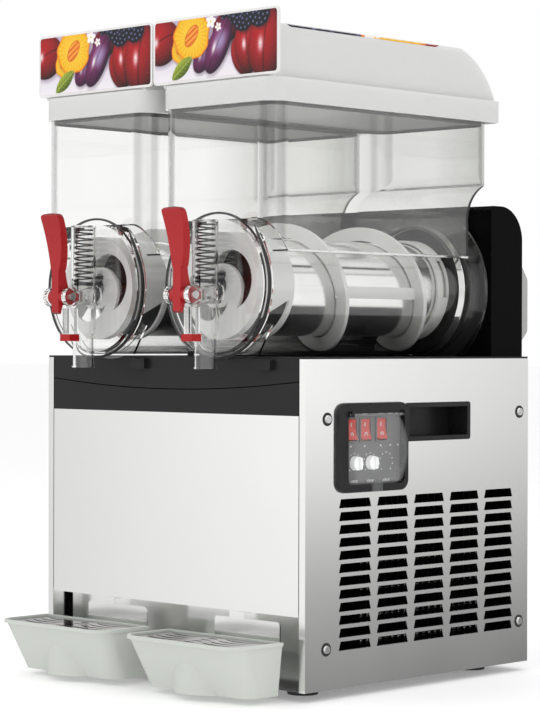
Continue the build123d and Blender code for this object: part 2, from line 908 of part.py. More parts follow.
with BuildPart() as drums:
    for x in (-bowl_centre, bowl_centre):
        with BuildSketch(front_plane(housing_front)):
            with Locations((x, axis_z)):
                Circle(drum_radius)
        extrude(amount=housing_front - drum_front)
        with BuildSketch(front_plane(housing_front)):
            with Locations((x, axis_z)):
                Circle(drum_radius - sheet)
                Circle(shaft_radius + 3, mode=Mode.SUBTRACT)
        extrude(amount=housing_front - drum_front - 4, mode=Mode.SUBTRACT)
        with BuildSketch(front_plane(housing_front + 1)):
            with Locations((x, axis_z)):
                Circle(shaft_radius + shaft_clearance)
        extrude(amount=housing_front - drum_front + 2, mode=Mode.SUBTRACT)
save(drums, "drums")

with BuildPart() as bowl_gaskets:
    for x in (-bowl_centre, bowl_centre):
        with BuildSketch(side_plane(x)):
            with BuildLine():
                Polyline(
                    (housing_front, axis_z + drum_radius + 0.1),
                    (104, axis_z + drum_radius + 0.1),
                    (104, axis_z + 60),
                    (110, axis_z + bell_radius - bowl_wall - 0.4),
                    (116, axis_z + bell_radius - bowl_wall - 0.4),
                    (120, axis_z + 66),
                    (126, axis_z + 66),
                    (126, axis_z + 86),
                    (housing_front, axis_z + 86),
                    close=True,
                )
            make_face()
        revolve(axis=Axis((x, 0, axis_z), (0, 1, 0)))
    with BuildSketch(Plane.XY.offset(deck_top - 60)):
        Rectangle(400, 400)
    extrude(amount=60, mode=Mode.SUBTRACT)
save(bowl_gaskets, "bowl_gaskets")


def auger_flight(x):
    """Helical flight, trimmed to the inside of the auger's bands."""
    turn_at_start = (flight_start - flight_at_right) / flight_pitch * 360
    start_angle = math.radians(turn_at_start)
    flight_plane = Plane(
        origin=(x, flight_start, axis_z),
        x_dir=(math.cos(start_angle), 0, -math.sin(start_angle)),
        z_dir=(0, 1, 0),
    )
    flight_width = auger_radius - auger_bore + 2
    mid_radius = auger_radius - flight_width / 2
    with BuildPart() as flight:
        with BuildLine():
            coil = Helix(flight_pitch, flight_end - flight_start, mid_radius, mode=Mode.PRIVATE)
            path = coil.moved(flight_plane.location)
            add(path)
        with BuildSketch(Plane(origin=path @ 0, x_dir=flight_plane.x_dir, z_dir=path % 0)):
            Rectangle(flight_width, flight_thickness)
        sweep(path=path, is_frenet=True)
        with BuildSketch(front_plane(flight_end + 20)):
            with Locations((x, axis_z)):
                Circle(flight_bore)
        extrude(amount=flight_end - flight_start + 40, mode=Mode.SUBTRACT)
    return flight.part


def auger_rib(x, from_y, to_y, at_x, at_z):
    """Rib along the auger, as a strip of its band, centred on at_x, at_z from the axis."""
    with BuildPart() as rib:
        with BuildSketch(front_plane(from_y)):
            with Locations((x, axis_z)):
                Circle(auger_band)
                Circle(auger_bore, mode=Mode.SUBTRACT)
            with Locations((x + at_x, axis_z + at_z)):
                Rectangle(rib_width, rib_width, mode=Mode.INTERSECT)
        extrude(amount=from_y - to_y)
    return rib.part


def make_auger(side, x):
    """Scraper auger: front disc and cup, one helical flight, ribs, and a rear band."""
    with BuildPart() as auger:
        # Front cup around the drum's end, and the front disc
        with BuildSketch(front_plane(-148)):
            with Locations((x, axis_z)):
                Circle(auger_band)
                Circle(auger_bore, mode=Mode.SUBTRACT)
        extrude(amount=-148 - auger_front)
        with BuildSketch(front_plane(auger_front + 4)):
            with Locations((x, axis_z)):
                Circle(auger_band)
        extrude(amount=4)
        # Two sickle openings in the disc
        for turn in (20, 200):
            swing = math.radians(turn)
            towards = (math.cos(swing), math.sin(swing))
            with BuildSketch(front_plane(auger_front + 5)):
                with Locations((x + 17 * towards[0], axis_z + 17 * towards[1])):
                    Circle(31)
                off_x = 2 * towards[0] + 6 * towards[1]
                off_z = 2 * towards[1] - 6 * towards[0]
                with Locations((x + off_x, axis_z + off_z)):
                    Circle(28, mode=Mode.SUBTRACT)
            extrude(amount=6, mode=Mode.SUBTRACT)
        # Slanted windows in the cup
        with BuildSketch(side_plane(x)):
            with BuildLine():
                Polyline(
                    (-190, axis_z - 60), (-190, axis_z - 34), (-154, axis_z - 14), (-154, axis_z - 60),
                    close=True,
                )
            make_face()
        extrude(amount=80, both=True, mode=Mode.SUBTRACT)
        # Hub on the drive shaft
        with BuildSketch(front_plane(auger_front + 24)):
            with Locations((x, axis_z)):
                Circle(13)
        extrude(amount=24)
        # Rear band, with a window, and the ribs that tie the flight together
        with BuildSketch(front_plane(100)):
            with Locations((x, axis_z)):
                Circle(auger_band)
                Circle(auger_bore, mode=Mode.SUBTRACT)
        extrude(amount=18)
        with BuildSketch(front_plane(98)):
            with Locations((x + 35, axis_z + 12)):
                Rectangle(60, 40)
        extrude(amount=8, mode=Mode.SUBTRACT)
        add(auger_rib(x, 88, -150, -auger_bore, 0))
        add(auger_rib(x, flight_at_right, flight_at_right - flight_pitch, auger_bore, -5))
        add(auger_flight(x))
        with BuildSketch(front_plane(0)):
            with Locations((x, axis_z)):
                Circle(shaft_radius)
        extrude(amount=-auger_front + 1, mode=Mode.SUBTRACT)
    save(auger, f"auger_{side}")


def make_drive_shaft(side, x):
    """Drive shaft from the gear motor, through the drum, to the auger's hub."""
    with BuildPart() as shaft:
        with BuildSketch(front_plane(150)):
            with Locations((x, axis_z)):
                Circle(shaft_radius)
        extrude(amount=150 - auger_front - 0.5)
    save(shaft, f"drive_shaft_{side}")


def make_auger_nut(side, x):
    """Winged nut that holds the auger on its shaft."""
    with BuildPart() as nut:
        with BuildSketch(front_plane(auger_front - 0.1)):
            with Locations((x, axis_z)):
                Circle(10)
                SlotOverall(34, 8, rotation=65)
        extrude(amount=3.4)
    save(nut, f"auger_nut_{side}")


# ================================ Taps ================================


def make_tap_body(side, x):
    """Clear tap: upright tube with a neck into the bowl, spout, two ears for the lever, front column."""
    with BuildPart() as tap:
        with BuildSketch(Plane.XY.offset(tube_low)):
            with Locations((x, tap_y)):
                Circle(tube_radius)
        extrude(amount=tube_high - tube_low)
        with BuildSketch(Plane.XY.offset(spout_low)):
            with Locations((x, tap_y)):
                Circle(spout_radius)
        extrude(amount=tube_low - spout_low)
        with BuildSketch(Plane.XY.offset(spout_low)):
            with Locations((x, tap_y)):
                Circle(spout_radius + 1.2)
        extrude(amount=2)
        with BuildSketch(front_plane(-204.6)):
            with Locations((x, neck_z)):
                Circle(neck_radius)
        extrude(amount=-204.6 - tap_y)
        # Ears either side of the lever, and the square column with its shelf
        for hand in (-1, 1):
            with BuildSketch(side_plane(x + hand * 12)):
                with Locations((pivot_y, pivot_z)):
                    Circle(ear_radius)
                with Locations(((pivot_y + tap_y) / 2, pivot_z)):
                    Rectangle(tap_y - pivot_y, 13)
            extrude(amount=hand * 6.4)
        with BuildSketch(Plane.XY.offset(tube_low)):
            with Locations((x, column_y)):
                Rectangle(column_side, column_side)
        extrude(amount=411 - tube_low)
        # Bores: piston chamber, spout, neck, lever slot and hinge pin
        with BuildSketch(Plane.XY.offset(tube_low + 6)):
            with Locations((x, tap_y)):
                Circle(tube_bore)
        extrude(amount=tube_high - tube_low - 8, mode=Mode.SUBTRACT)
        with BuildSketch(Plane.XY.offset(spout_low - 1)):
            with Locations((x, tap_y)):
                Circle(spout_bore)
        extrude(amount=tube_low + 7 - spout_low, mode=Mode.SUBTRACT)
        with BuildSketch(front_plane(-204)):
            with Locations((x, neck_z)):
                Circle(neck_bore)
        extrude(amount=-204 - tap_y, mode=Mode.SUBTRACT)
        with BuildSketch(front_plane(tap_y - 5)):
            with Locations((x, pivot_z + 7)):
                Rectangle(9, 26)
        extrude(amount=12, mode=Mode.SUBTRACT)
        with BuildSketch(side_plane(x)):
            with Locations((pivot_y, pivot_z)):
                Circle(pin_radius + 0.02)
        extrude(amount=20, both=True, mode=Mode.SUBTRACT)
    save(tap, f"tap_body_{side}")


def make_piston(side, x):
    """Sealing piston with two ring grooves and a notch for the lever's arm."""
    with BuildPart() as piston:
        with BuildSketch(Plane.XY.offset(piston_low)):
            with Locations((x, tap_y)):
                Circle(piston_radius)
        extrude(amount=piston_high - piston_low)
        for height in (piston_low + 1, piston_high - 4):
            with BuildSketch(Plane.XY.offset(height)):
                with Locations((x, tap_y)):
                    Circle(piston_radius + 1)
                    Circle(piston_radius - 1, mode=Mode.SUBTRACT)
            extrude(amount=1.6, mode=Mode.SUBTRACT)
        with BuildSketch(side_plane(x)):
            with Locations((tap_y - piston_radius, pivot_z)):
                Rectangle(14, arm_height + 2.4)
        extrude(amount=4.4, both=True, mode=Mode.SUBTRACT)
    save(piston, f"tap_piston_{side}")


def make_spring(side, x):
    """Coil spring that closes the tap."""
    low = piston_high + 0.3 + spring_wire
    height = tube_high - 2.3 - spring_wire - low
    with BuildPart() as spring:
        with BuildLine():
            path = Helix(height / spring_turns, height, spring_radius - spring_wire, center=(x, tap_y, low))
        with BuildSketch(Plane(origin=path @ 0, z_dir=path % 0)):
            Circle(spring_wire)
        sweep(path=path, is_frenet=True)
    save(spring, f"tap_spring_{side}")


def make_lever(side, x):
    """Tap lever: spoon-shaped paddle, stem, hub between the ears, toe, and an arm into the piston."""
    with BuildPart() as paddle:
        with BuildSketch(side_plane(x - 15)):
            with BuildLine():
                ThreePointArc((-262.5, 452), (-264.5, 484), (-271.5, 510))
                ThreePointArc((-271.5, 510), (-268.5, 512.6), (-264, 511.6))
                ThreePointArc((-264, 511.6), (-255.5, 484), (-252.5, 452))
                Line((-252.5, 452), (-262.5, 452))
            make_face()
        extrude(amount=30)
        with BuildSketch(front_plane(-240)):
            with BuildLine():
                ThreePointArc((x - 6.3, 450), (x - 10.5, 472), (x - 14, 506))
                ThreePointArc((x - 14, 506), (x - 12.5, 510.5), (x - 8, 512))
                ThreePointArc((x - 8, 512), (x, 512.8), (x + 8, 512))
                ThreePointArc((x + 8, 512), (x + 12.5, 510.5), (x + 14, 506))
                ThreePointArc((x + 14, 506), (x + 10.5, 472), (x + 6.3, 450))
                Line((x + 6.3, 450), (x - 6.3, 450))
            make_face()
        extrude(amount=50, mode=Mode.INTERSECT)
    with BuildPart() as lever:
        add(paddle.part)
        with BuildSketch(side_plane(x - 5.5)):
            with BuildLine():
                Line((-262.5, 458), (-262.5, 406.5))
                Line((-262.5, 406.5), (-258.8, 404.5))
                Line((-258.8, 404.5), (-256, 414))
                ThreePointArc((-256, 414), (-247.5, 420), (-245.5, 427))
                ThreePointArc((-245.5, 427), (-250.5, 441), (-252.6, 458))
                Line((-252.6, 458), (-262.5, 458))
            make_face()
        extrude(amount=11)
        with BuildSketch(side_plane(x - 11.6)):
            with Locations((pivot_y, pivot_z)):
                Circle(8.6)
        extrude(amount=23.2)
        with BuildSketch(side_plane(x - 3.4)):
            with Locations((pivot_y + lever_reach / 2, pivot_z)):
                SlotOverall(lever_reach + arm_height, arm_height)
        extrude(amount=6.8)
        with BuildSketch(side_plane(x - 20)):
            with Locations((pivot_y, pivot_z)):
                Circle(pin_radius + 0.06)
        extrude(amount=40, mode=Mode.SUBTRACT)
    save(lever, f"tap_lever_{side}")


def make_lever_pin(side, x):
    """Hinge pin through the ears and the lever's hub, with a round head at each end."""
    with BuildPart() as pin:
        with BuildSketch(side_plane(x - 19.4)):
            with Locations((pivot_y, pivot_z)):
                Circle(pin_radius)
        extrude(amount=38.8)
        for hand in (-1, 1):
            with BuildSketch(side_plane(x + hand * 18.5)):
                with Locations((pivot_y, pivot_z)):
                    Circle(4.2)
            extrude(amount=hand * 1.4)
    save(pin, f"lever_pin_{side}")


def make_tap_collar(side, x):
    """Square collar clipped around the tap's front column."""
    with BuildPart() as collar:
        with BuildSketch(Plane.XY.offset(tube_low - 2.5)):
            with Locations((x, column_y - 1)):
                Rectangle(15.7, 13.7)
            with Locations((x, tap_y)):
                Circle(tube_radius + 0.2, mode=Mode.SUBTRACT)
        extrude(amount=2.3)
        with BuildSketch(Plane.XY.offset(tube_low - 0.2)):
            with Locations((x, column_y - 1)):
                Rectangle(15.7, 13.7)
            with Locations((x, column_y + 5)):
                Rectangle(column_side + 0.2, column_side + 10.2, mode=Mode.SUBTRACT)
            with Locations((x, tap_y)):
                Circle(tube_radius + 0.2, mode=Mode.SUBTRACT)
        extrude(amount=5.2)
    save(collar, f"tap_collar_{side}")


# ================================ Left and right sets ================================

for side, x in (("left", -bowl_centre), ("right", bowl_centre)):
    make_bowl(side, x)
    make_lid(side, x)
    make_auger(side, x)
    make_drive_shaft(side, x)
    make_auger_nut(side, x)
    make_tap_body(side, x)
    make_piston(side, x)
    make_spring(side, x)
    make_lever(side, x)
    make_lever_pin(side, x)
    make_tap_collar(side, x)

for side, x in (("left", -tray_centre), ("right", tray_centre)):
    make_tray(side, x)
    make_grid(side, x)

make_sign("left", -sign_centre)
make_sign("right", sign_centre)

# ================================ Machinery ================================

with BuildPart() as gear_motors:
    motor_front = housing_front + housing_wall
    for x in (-bowl_centre, bowl_centre):
        with BuildSketch(front_plane(motor_front + 0.2)):
            with Locations((x, axis_z)):
                Circle(motor_radius)
        extrude(amount=-motor_depth)
        with BuildSketch(front_plane(motor_front + 0.2 + motor_depth)):
            with Locations((x, axis_z)):
                Circle(0.6 * motor_radius)
        extrude(amount=-motor_radius)
        with BuildSketch(front_plane(motor_front)):
            with Locations((x, axis_z)):
                Circle(shaft_radius + shaft_clearance)
        extrude(amount=-20, mode=Mode.SUBTRACT)
save(gear_motors, "gear_motors")

with BuildPart() as compressor:
    with BuildSketch(Plane.XY.offset(compressor_low)):
        with Locations((compressor_x, 0)):
            Circle(compressor_radius)
    extrude(amount=compressor_height)
    fillet(compressor.edges().group_by(Axis.Z)[-1], 38)
    with BuildSketch(Plane.XY.offset(cabinet_base + sheet)):
        with Locations((compressor_x, 0)):
            RectangleRounded(172, 156, 12)
    extrude(amount=12)
save(compressor, "compressor")

with BuildPart() as condenser:
    half_length = condenser_size[1] / 2 + 3
    low = fan_z - condenser_size[2] / 2
    pan_top = cabinet_base + sheet
    with BuildSketch(Plane.XY.offset(low)):
        with Locations((condenser_x, fan_y)):
            with GridLocations(1, fin_pitch, 1, condenser_fins):
                Rectangle(condenser_size[0], fin_thickness)
    extrude(amount=condenser_size[2])
    for x in (condenser_x - 8, condenser_x + 8):
        with BuildSketch(front_plane(fan_y + half_length - 2)):
            with Locations((x, fan_z)):
                with GridLocations(1, condenser_tube_pitch, 1, 6):
                    Circle(4)
        extrude(amount=2 * half_length - 4)
    # Shroud around the fan, and a foot on the base pan
    with BuildSketch(side_plane(shroud_x)):
        with Locations((fan_y, fan_z)):
            Rectangle(2 * half_length, condenser_size[2] + 6)
            Circle(fan_opening, mode=Mode.SUBTRACT)
    extrude(amount=-sheet)
    with BuildSketch(Plane.XY.offset(pan_top)):
        with Locations((condenser_x - 1, fan_y)):
            Rectangle(condenser_size[0] + 3, 2 * half_length)
    extrude(amount=low - pan_top + 1)
    with BuildSketch(side_plane(shroud_x)):
        with Locations((fan_y, pan_top + 8.5)):
            Rectangle(2 * half_length, 17)
    extrude(amount=-sheet)
save(condenser, "condenser")

with BuildPart() as fan_motor:
    with BuildSketch(side_plane(75)):
        with Locations((fan_y, fan_z)):
            Circle(28)
    extrude(amount=38)
    with BuildSketch(side_plane(113)):
        with Locations((fan_y, fan_z)):
            Circle(fan_shaft_radius)
    extrude(amount=28)
    with BuildSketch(side_plane(85)):
        with Locations((fan_y, (fan_z + cabinet_base + sheet) / 2)):
            Rectangle(40, fan_z - cabinet_base - sheet)
    extrude(amount=3)
    with BuildSketch(Plane.XY.offset(cabinet_base + sheet)):
        with Locations((92, fan_y)):
            Rectangle(50, 60)
    extrude(amount=2)
save(fan_motor, "fan_motor")

with BuildPart() as fan_blade:
    with BuildSketch(side_plane(118)):
        with Locations((fan_y, fan_z)):
            Circle(18)
    extrude(amount=20)
    for blade in range(5):
        swing = math.radians(72 * blade)
        outward = (0, math.cos(swing), math.sin(swing))
        root = Plane(
            origin=(128, fan_y + 10 * outward[1], fan_z + 10 * outward[2]),
            x_dir=(1, 0, 0),
            z_dir=outward,
        )
        with BuildSketch(root):
            Rectangle(26, 2, rotation=55)
        extrude(amount=fan_radius - 10)
    with BuildSketch(side_plane(100)):
        with Locations((fan_y, fan_z)):
            Circle(fan_shaft_radius + 0.05)
    extrude(amount=60, mode=Mode.SUBTRACT)
save(fan_blade, "fan_blade")

pipe_runs = [
    [(-90, 0, 195.2), (-90, 0, 232), (60, 60, 232), (160, 60, 232), (160, 60, 220.2)],
    [(-130, 150, 400), (-130, 150, 250), (-130, 20, 250), (-110, 0, 236), (-110, 0, 195.2)],
    [(-60, 150, 400), (-60, 150, 262), (110, 150, 262), (110, 138, 200), (160, 128, 200)],
]
with BuildPart() as refrigerant_pipes:
    for run in pipe_runs:
        with BuildLine():
            path = FilletPolyline(*run, radius=8)
        with BuildSketch(Plane(origin=path @ 0, z_dir=path % 0)):
            Circle(pipe_radius)
        sweep(path=path)
save(refrigerant_pipes, "refrigerant_pipes")

with BuildPart() as power_cord:
    with BuildSketch(front_plane(half_depth - 6)):
        with Locations(cord_inlet):
            Circle(8)
    extrude(amount=-6)
    with BuildSketch(front_plane(half_depth)):
        with Locations(cord_inlet):
            RegularPolygon(12, 6)
    extrude(amount=-8)
    inlet_x, inlet_z = cord_inlet
    along_floor = floor_z + cord_radius + 0.4
    with BuildLine():
        path = FilletPolyline(
            (inlet_x, half_depth + 7, inlet_z),
            (inlet_x, cord_y, inlet_z),
            (inlet_x, cord_y, along_floor),
            (45, cord_y, along_floor),
            radius=12,
        )
    with BuildSketch(Plane(origin=path @ 0, z_dir=path % 0)):
        Circle(cord_radius)
    sweep(path=path)
    with BuildSketch(side_plane(40)):
        with Locations((cord_y - 2, floor_z + plug_height / 2)):
            RectangleRounded(22, plug_height, 6)
    extrude(amount=34)
    with BuildSketch(side_plane(74)):
        with Locations((cord_y - 8, floor_z + plug_height / 2), (cord_y + 4, floor_z + plug_height / 2)):
            Circle(2.2)
    extrude(amount=18)
save(power_cord, "power_cord")
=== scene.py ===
import json
import math
from itertools import product

import bmesh
import bpy
import numpy as np
from mathutils import Matrix, Vector


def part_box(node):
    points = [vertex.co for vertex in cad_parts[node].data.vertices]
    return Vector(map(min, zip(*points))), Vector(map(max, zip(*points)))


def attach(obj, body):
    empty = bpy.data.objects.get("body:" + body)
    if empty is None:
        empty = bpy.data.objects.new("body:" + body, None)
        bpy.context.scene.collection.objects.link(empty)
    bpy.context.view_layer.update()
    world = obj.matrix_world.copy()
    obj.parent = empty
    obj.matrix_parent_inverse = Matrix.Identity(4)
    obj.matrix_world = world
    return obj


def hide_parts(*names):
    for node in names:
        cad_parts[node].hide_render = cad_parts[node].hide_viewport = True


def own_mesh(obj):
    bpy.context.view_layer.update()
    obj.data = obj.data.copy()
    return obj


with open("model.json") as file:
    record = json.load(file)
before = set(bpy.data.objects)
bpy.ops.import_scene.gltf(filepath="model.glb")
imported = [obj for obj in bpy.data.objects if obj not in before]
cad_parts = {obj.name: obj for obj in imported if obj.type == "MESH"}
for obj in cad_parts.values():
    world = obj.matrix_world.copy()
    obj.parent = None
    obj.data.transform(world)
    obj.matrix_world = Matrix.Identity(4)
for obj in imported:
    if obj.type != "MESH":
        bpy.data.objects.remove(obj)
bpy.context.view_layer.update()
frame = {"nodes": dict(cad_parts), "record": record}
scene = bpy.context.scene
MM = 0.001

# The cabinet's centre line, a little below the floor: every place below is given from here, in millimetres
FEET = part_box("feet")
ORIGIN = Vector(((FEET[0].x + FEET[1].x) / 2, (FEET[0].y + FEET[1].y) / 2 - 5 * MM, -8 * MM))
SIDES = {"left": -95.0, "right": 95.0}

# Heights of the bowls' axis and of the knobs, and where the panel screws sit as (y, z)
AXIS_Z = 433.5
KNOB_Z = 249.3
SCREW_SPOTS = ((-149, 296), (166, 298), (-150, 60), (166, 64))
SWITCHES = ("power_switch", "left_switch", "right_switch")


def place(x, y, z):
    """A point in metres, from millimetres about the cabinet's centre."""
    return ORIGIN + Vector((x, y, z)) * MM


# ================================ Shader tools ================================


class Wiring:
    """Short ways to add and join shader nodes in one node tree."""

    def __init__(self, tree, shader):
        self.nodes = tree.nodes
        self.links = tree.links
        self.shader = self.nodes[shader]

    def set(self, key, value, node=None):
        """Give an input a number, a colour or another node's output."""
        target = (node or self.shader).inputs[key]
        if isinstance(value, bpy.types.NodeSocket):
            self.links.new(value, target)
        else:
            target.default_value = value

    def add(self, kind, out, settings=(), **inputs):
        """Add a node and return its output named out."""
        node = self.nodes.new("ShaderNode" + kind)
        for key, value in dict(settings).items():
            setattr(node, key, value)
        for key, value in inputs.items():
            self.set(int(key[1:]) if key[0] == "_" else key, value, node)
        return node.outputs[out]

    def map(self, value, low, high, from_low=0.3, from_high=0.7):
        """Value moved from one range to another, and held at its ends."""
        return self.add("MapRange", "Result", Value=value, **{
            "From Min": from_low, "From Max": from_high, "To Min": low, "To Max": high})

    def blend(self, share, first, second):
        """Colour between first and second."""
        node = self.nodes.new("ShaderNodeMix")
        node.data_type = "RGBA"
        self.set(0, share, node)
        for key, value in ((6, first), (7, second)):
            self.set(key, value if isinstance(value, bpy.types.NodeSocket) else (*value, 1), node)
        return node.outputs[2]

    def mix(self, share, first, second):
        """Number between first and second."""
        return self.add("Mix", 0, {"data_type": "FLOAT"}, _0=share, _2=first, _3=second)

    def math(self, operation, first, second=0.0):
        """Sum, product, comparison or the like of one or two numbers."""
        return self.add("Math", 0, {"operation": operation}, _0=first, _1=second)


class Finish(Wiring):
    """A Principled material in the part's own coordinates."""

    def __init__(self, name, colour, roughness, metallic=0.0, **inputs):
        self.mat = bpy.data.materials.new(name)
        self.mat.use_nodes = True
        super().__init__(self.mat.node_tree, "Principled BSDF")
        self.coords = self.nodes.new("ShaderNodeTexCoord").outputs["Object"]
        self.set("Base Color", (*colour, 1))
        self.set("Roughness", roughness)
        self.set("Metallic", metallic)
        for key, value in inputs.items():
            self.set(key.replace("_", " "), value)

    def noise(self, scale, stretch=(1, 1, 1), detail=4.0, roughness=0.5):
        """Cloudy pattern from 0 to 1, with its grain finer along an axis that is stretched more."""
        moved = self.add("Mapping", "Vector", Vector=self.coords, Scale=stretch)
        return self.add("TexNoise", "Fac", Vector=moved, Scale=scale, Detail=detail, Roughness=roughness)

    def axes(self, vector):
        """The X, Y and Z of a vector."""
        node = self.nodes.new("ShaderNodeSeparateXYZ")
        self.set(0, vector, node)
        return node.outputs["X"], node.outputs["Y"], node.outputs["Z"]

    def normal(self, kind="True Normal"):
        """Direction that the surface faces."""
        return self.nodes.new("ShaderNodeNewGeometry").outputs[kind]

    def facing(self):
        """0 where the surface faces the eye, 1 where it is seen edge-on."""
        return self.add("LayerWeight", "Facing", Blend=0.5)

    def finish_with(self, shader):
        """Send this shader to the surface in place of the Principled one."""
        self.links.new(shader, self.nodes["Material Output"].inputs["Surface"])

    def bump(self, height, strength, distance=0.0002):
        """Small relief on the surface, its depth in metres."""
        normal = self.add("Bump", "Normal", Height=height, Strength=strength, Distance=distance)
        self.set("Normal", normal)

    def vary_roughness(self, value, low, high):
        """Roughness that follows a pattern."""
        self.set("Roughness", self.map(value, low, high))


def brushed(name, colour, roughness, along, streak=900.0, strength=0.02):
    """Metal with fine streaks along one axis: stretch is small along the streaks."""
    finish = Finish(name, colour, roughness, 1.0)
    stretch = [1.0, 1.0, 1.0]
    stretch["XYZ".index(along)] = 0.012
    fine = finish.noise(streak, stretch, 6.0, 0.65)
    broad = finish.noise(6.0, (1, 1, 1), 2.0)
    finish.set("Roughness", finish.math("ADD", finish.map(fine, roughness - 0.02, roughness + 0.03),
        finish.map(broad, -0.015, 0.02)))
    dark = tuple(c * 0.975 for c in colour)
    finish.set("Base Color", finish.blend(finish.map(fine, 0, 1), dark, colour))
    finish.bump(fine, strength)
    return finish


def cabinet_steel(colour):
    """Satin sheet steel; the cabinet's inner sides carry painted shade, a dark non-metallic colour in place
    of the shade inside the cabinet.
    """
    # Painted shade: the near-black colour given here darkens the cabinet's inner sides behind the front
    # recess
    middle, front, inner_shade = place(0, 0, 190), -152 * MM, (0.02, 0.02, 0.021)
    finish = brushed("stainless", colour, 0.16, "X", 1500.0, 0.004)
    out = finish.add("VectorMath", "Vector", {"operation": "SUBTRACT"}, _0=finish.coords, _1=tuple(middle))
    outwards = finish.add("VectorMath", "Value", {"operation": "DOT_PRODUCT"}, _0=out, _1=finish.normal())
    at_front = finish.math("LESS_THAN", finish.axes(out)[1], front)
    outside = finish.math("MAXIMUM", finish.math("GREATER_THAN", outwards), at_front)
    bright = finish.shader.inputs["Base Color"].links[0].from_socket
    finish.set("Base Color", finish.blend(outside, inner_shade, bright))
    finish.set("Metallic", outside)
    return finish


def moulded(name, colour, roughness, grain=700.0, strength=0.08, shift=0.94, **inputs):
    """Plastic with a fine moulded grain and a slow change of tone."""
    finish = Finish(name, colour, roughness, **inputs)
    grain_fac = finish.noise(grain, detail=3.0)
    tone = finish.noise(14.0, detail=3.0)
    finish.set("Base Color", finish.blend(finish.map(tone, 0, 1), tuple(c * shift for c in colour), colour))
    finish.vary_roughness(finish.noise(45.0, detail=5.0), roughness * 0.85, roughness * 1.2)
    finish.bump(grain_fac, strength, 0.0001)
    return finish


def paint_edge_shade(finish, colour, edge, start=0.62):
    """Painted shade: darken a finish where its surface turns away from the eye."""
    share = finish.map(finish.facing(), 0, 1, start, 0.98)
    finish.set("Base Color", finish.blend(share, colour, edge))


def clear(name, tint, roughness, edge=0.5):
    """Clear moulded plastic with painted shade that darkens it edge-on, which lets light and shadow rays
    straight through.
    """
    refraction, shade = 1.49, (0.86, 0.86, 0.86, 1)
    finish = Finish(name, tint, roughness, IOR=refraction)
    paint_edge_shade(finish, tint, tuple(c * edge for c in tint))
    finish.set("Transmission Weight", 1.0)
    finish.vary_roughness(finish.noise(30.0, detail=5.0), roughness * 0.5, roughness * 1.6)
    finish.bump(finish.noise(9.0, detail=2.0), 0.12, 0.0006)
    path = finish.nodes.new("ShaderNodeLightPath")
    passing = finish.math("MAXIMUM", path.outputs["Is Shadow Ray"], path.outputs["Is Diffuse Ray"])
    through = finish.add("BsdfTransparent", "BSDF", Color=shade)
    mixed = finish.add("MixShader", 0, _0=passing, _1=finish.shader.outputs["BSDF"], _2=through)
    finish.finish_with(mixed)
    return finish


def bowl_plastic():
    """Clear bowl with painted shade: darker towards the rear, in bands along its rounded upright corners,
    and towards a dark outline where a wall is seen edge-on.
    """
    front_wall, rear_wall_shade, outline = (0.985, 0.985, 0.98), (0.73, 0.735, 0.715), (0.12, 0.12, 0.12)
    finish = clear("bowl_clear", (1, 1, 1), 0.012)
    depth = finish.axes(finish.coords)[1]
    rearward = finish.map(depth, 0, 1, place(0, 40, 0).y, place(0, 120, 0).y)
    across, along, _ = finish.axes(finish.normal("Normal"))
    corner = finish.math("ABSOLUTE", finish.math("MULTIPLY", across, along))
    corner_shade_band, pale_middle = finish.map(corner, 0, 0.34, 0.04, 0.2), finish.map(corner, 0, 0.22, 0.4, 0.5)
    band = finish.math("SUBTRACT", corner_shade_band, pale_middle)
    share = finish.math("MAXIMUM", band, finish.map(finish.facing(), 0, 0.5, 0.62, 0.98))
    # Painted shade: the rear colour, the corner bands and the edge-on outline stand in for shade seen
    # through the walls
    wall = finish.blend(rearward, front_wall, rear_wall_shade)
    finish.set("Base Color", finish.blend(share, wall, outline))
    return finish


def splash_cover():
    """Thin clear cover with a faint haze, and a painted sheen that makes it whiter where it is seen edge-on.
    """
    finish = Finish("cover_clear", (0.85, 0.86, 0.86), 0.08)
    through = finish.add("BsdfTransparent", "BSDF", Color=(0.97, 0.975, 0.975, 1))
    share = finish.map(finish.facing(), 0.06, 0.5, 0.35, 0.95)
    finish.finish_with(finish.add("MixShader", 0, _0=share, _1=through, _2=finish.shader.outputs["BSDF"]))
    return finish


def tray_finish():
    """Pale moulded tray, darker inside, where it lies in the shade of its grid."""
    pale, dark = (0.61, 0.635, 0.597), (0.16, 0.167, 0.157)
    finish = moulded("tray_plastic", pale, 0.35, 500.0, 0.04, Specular_IOR_Level=0.35)
    tray_centre, tray_middle, grid_z = 100 * MM, place(0, -232, 0).y, place(0, 0, 66).z
    normal_x, normal_y, _ = finish.axes(finish.normal())
    x, y, z = finish.axes(finish.coords)
    across = finish.math("SUBTRACT", x, ORIGIN.x)
    out = finish.math("SUBTRACT", finish.math("ABSOLUTE", across), tray_centre)
    sideways = finish.math("MULTIPLY", out, finish.math("MULTIPLY", finish.math("SIGN", across), normal_x))
    lengthways = finish.math("MULTIPLY", normal_y, finish.math("SUBTRACT", y, tray_middle))
    inwards = finish.math("LESS_THAN", finish.math("ADD", sideways, lengthways))
    below = finish.math("LESS_THAN", z, grid_z)
    share = finish.math("MULTIPLY", inwards, below)
    finish.set("Base Color", finish.blend(share, pale, dark))
    return finish


def grid_finish():
    """Drip grid's sheet steel, with its punched edges painted near-black as painted shade in the slots."""
    steel, slot_shade = (0.34, 0.33, 0.32), (0.015, 0.015, 0.015)
    finish = brushed("grid_steel", steel, 0.16, "X")
    upwards = finish.axes(finish.normal())[2]
    # Painted shade on every face that is not flat: the sides of the slots
    flat = finish.math("GREATER_THAN", finish.math("ABSOLUTE", upwards), 0.7)
    finish.set("Base Color", finish.blend(flat, slot_shade, steel))
    return finish


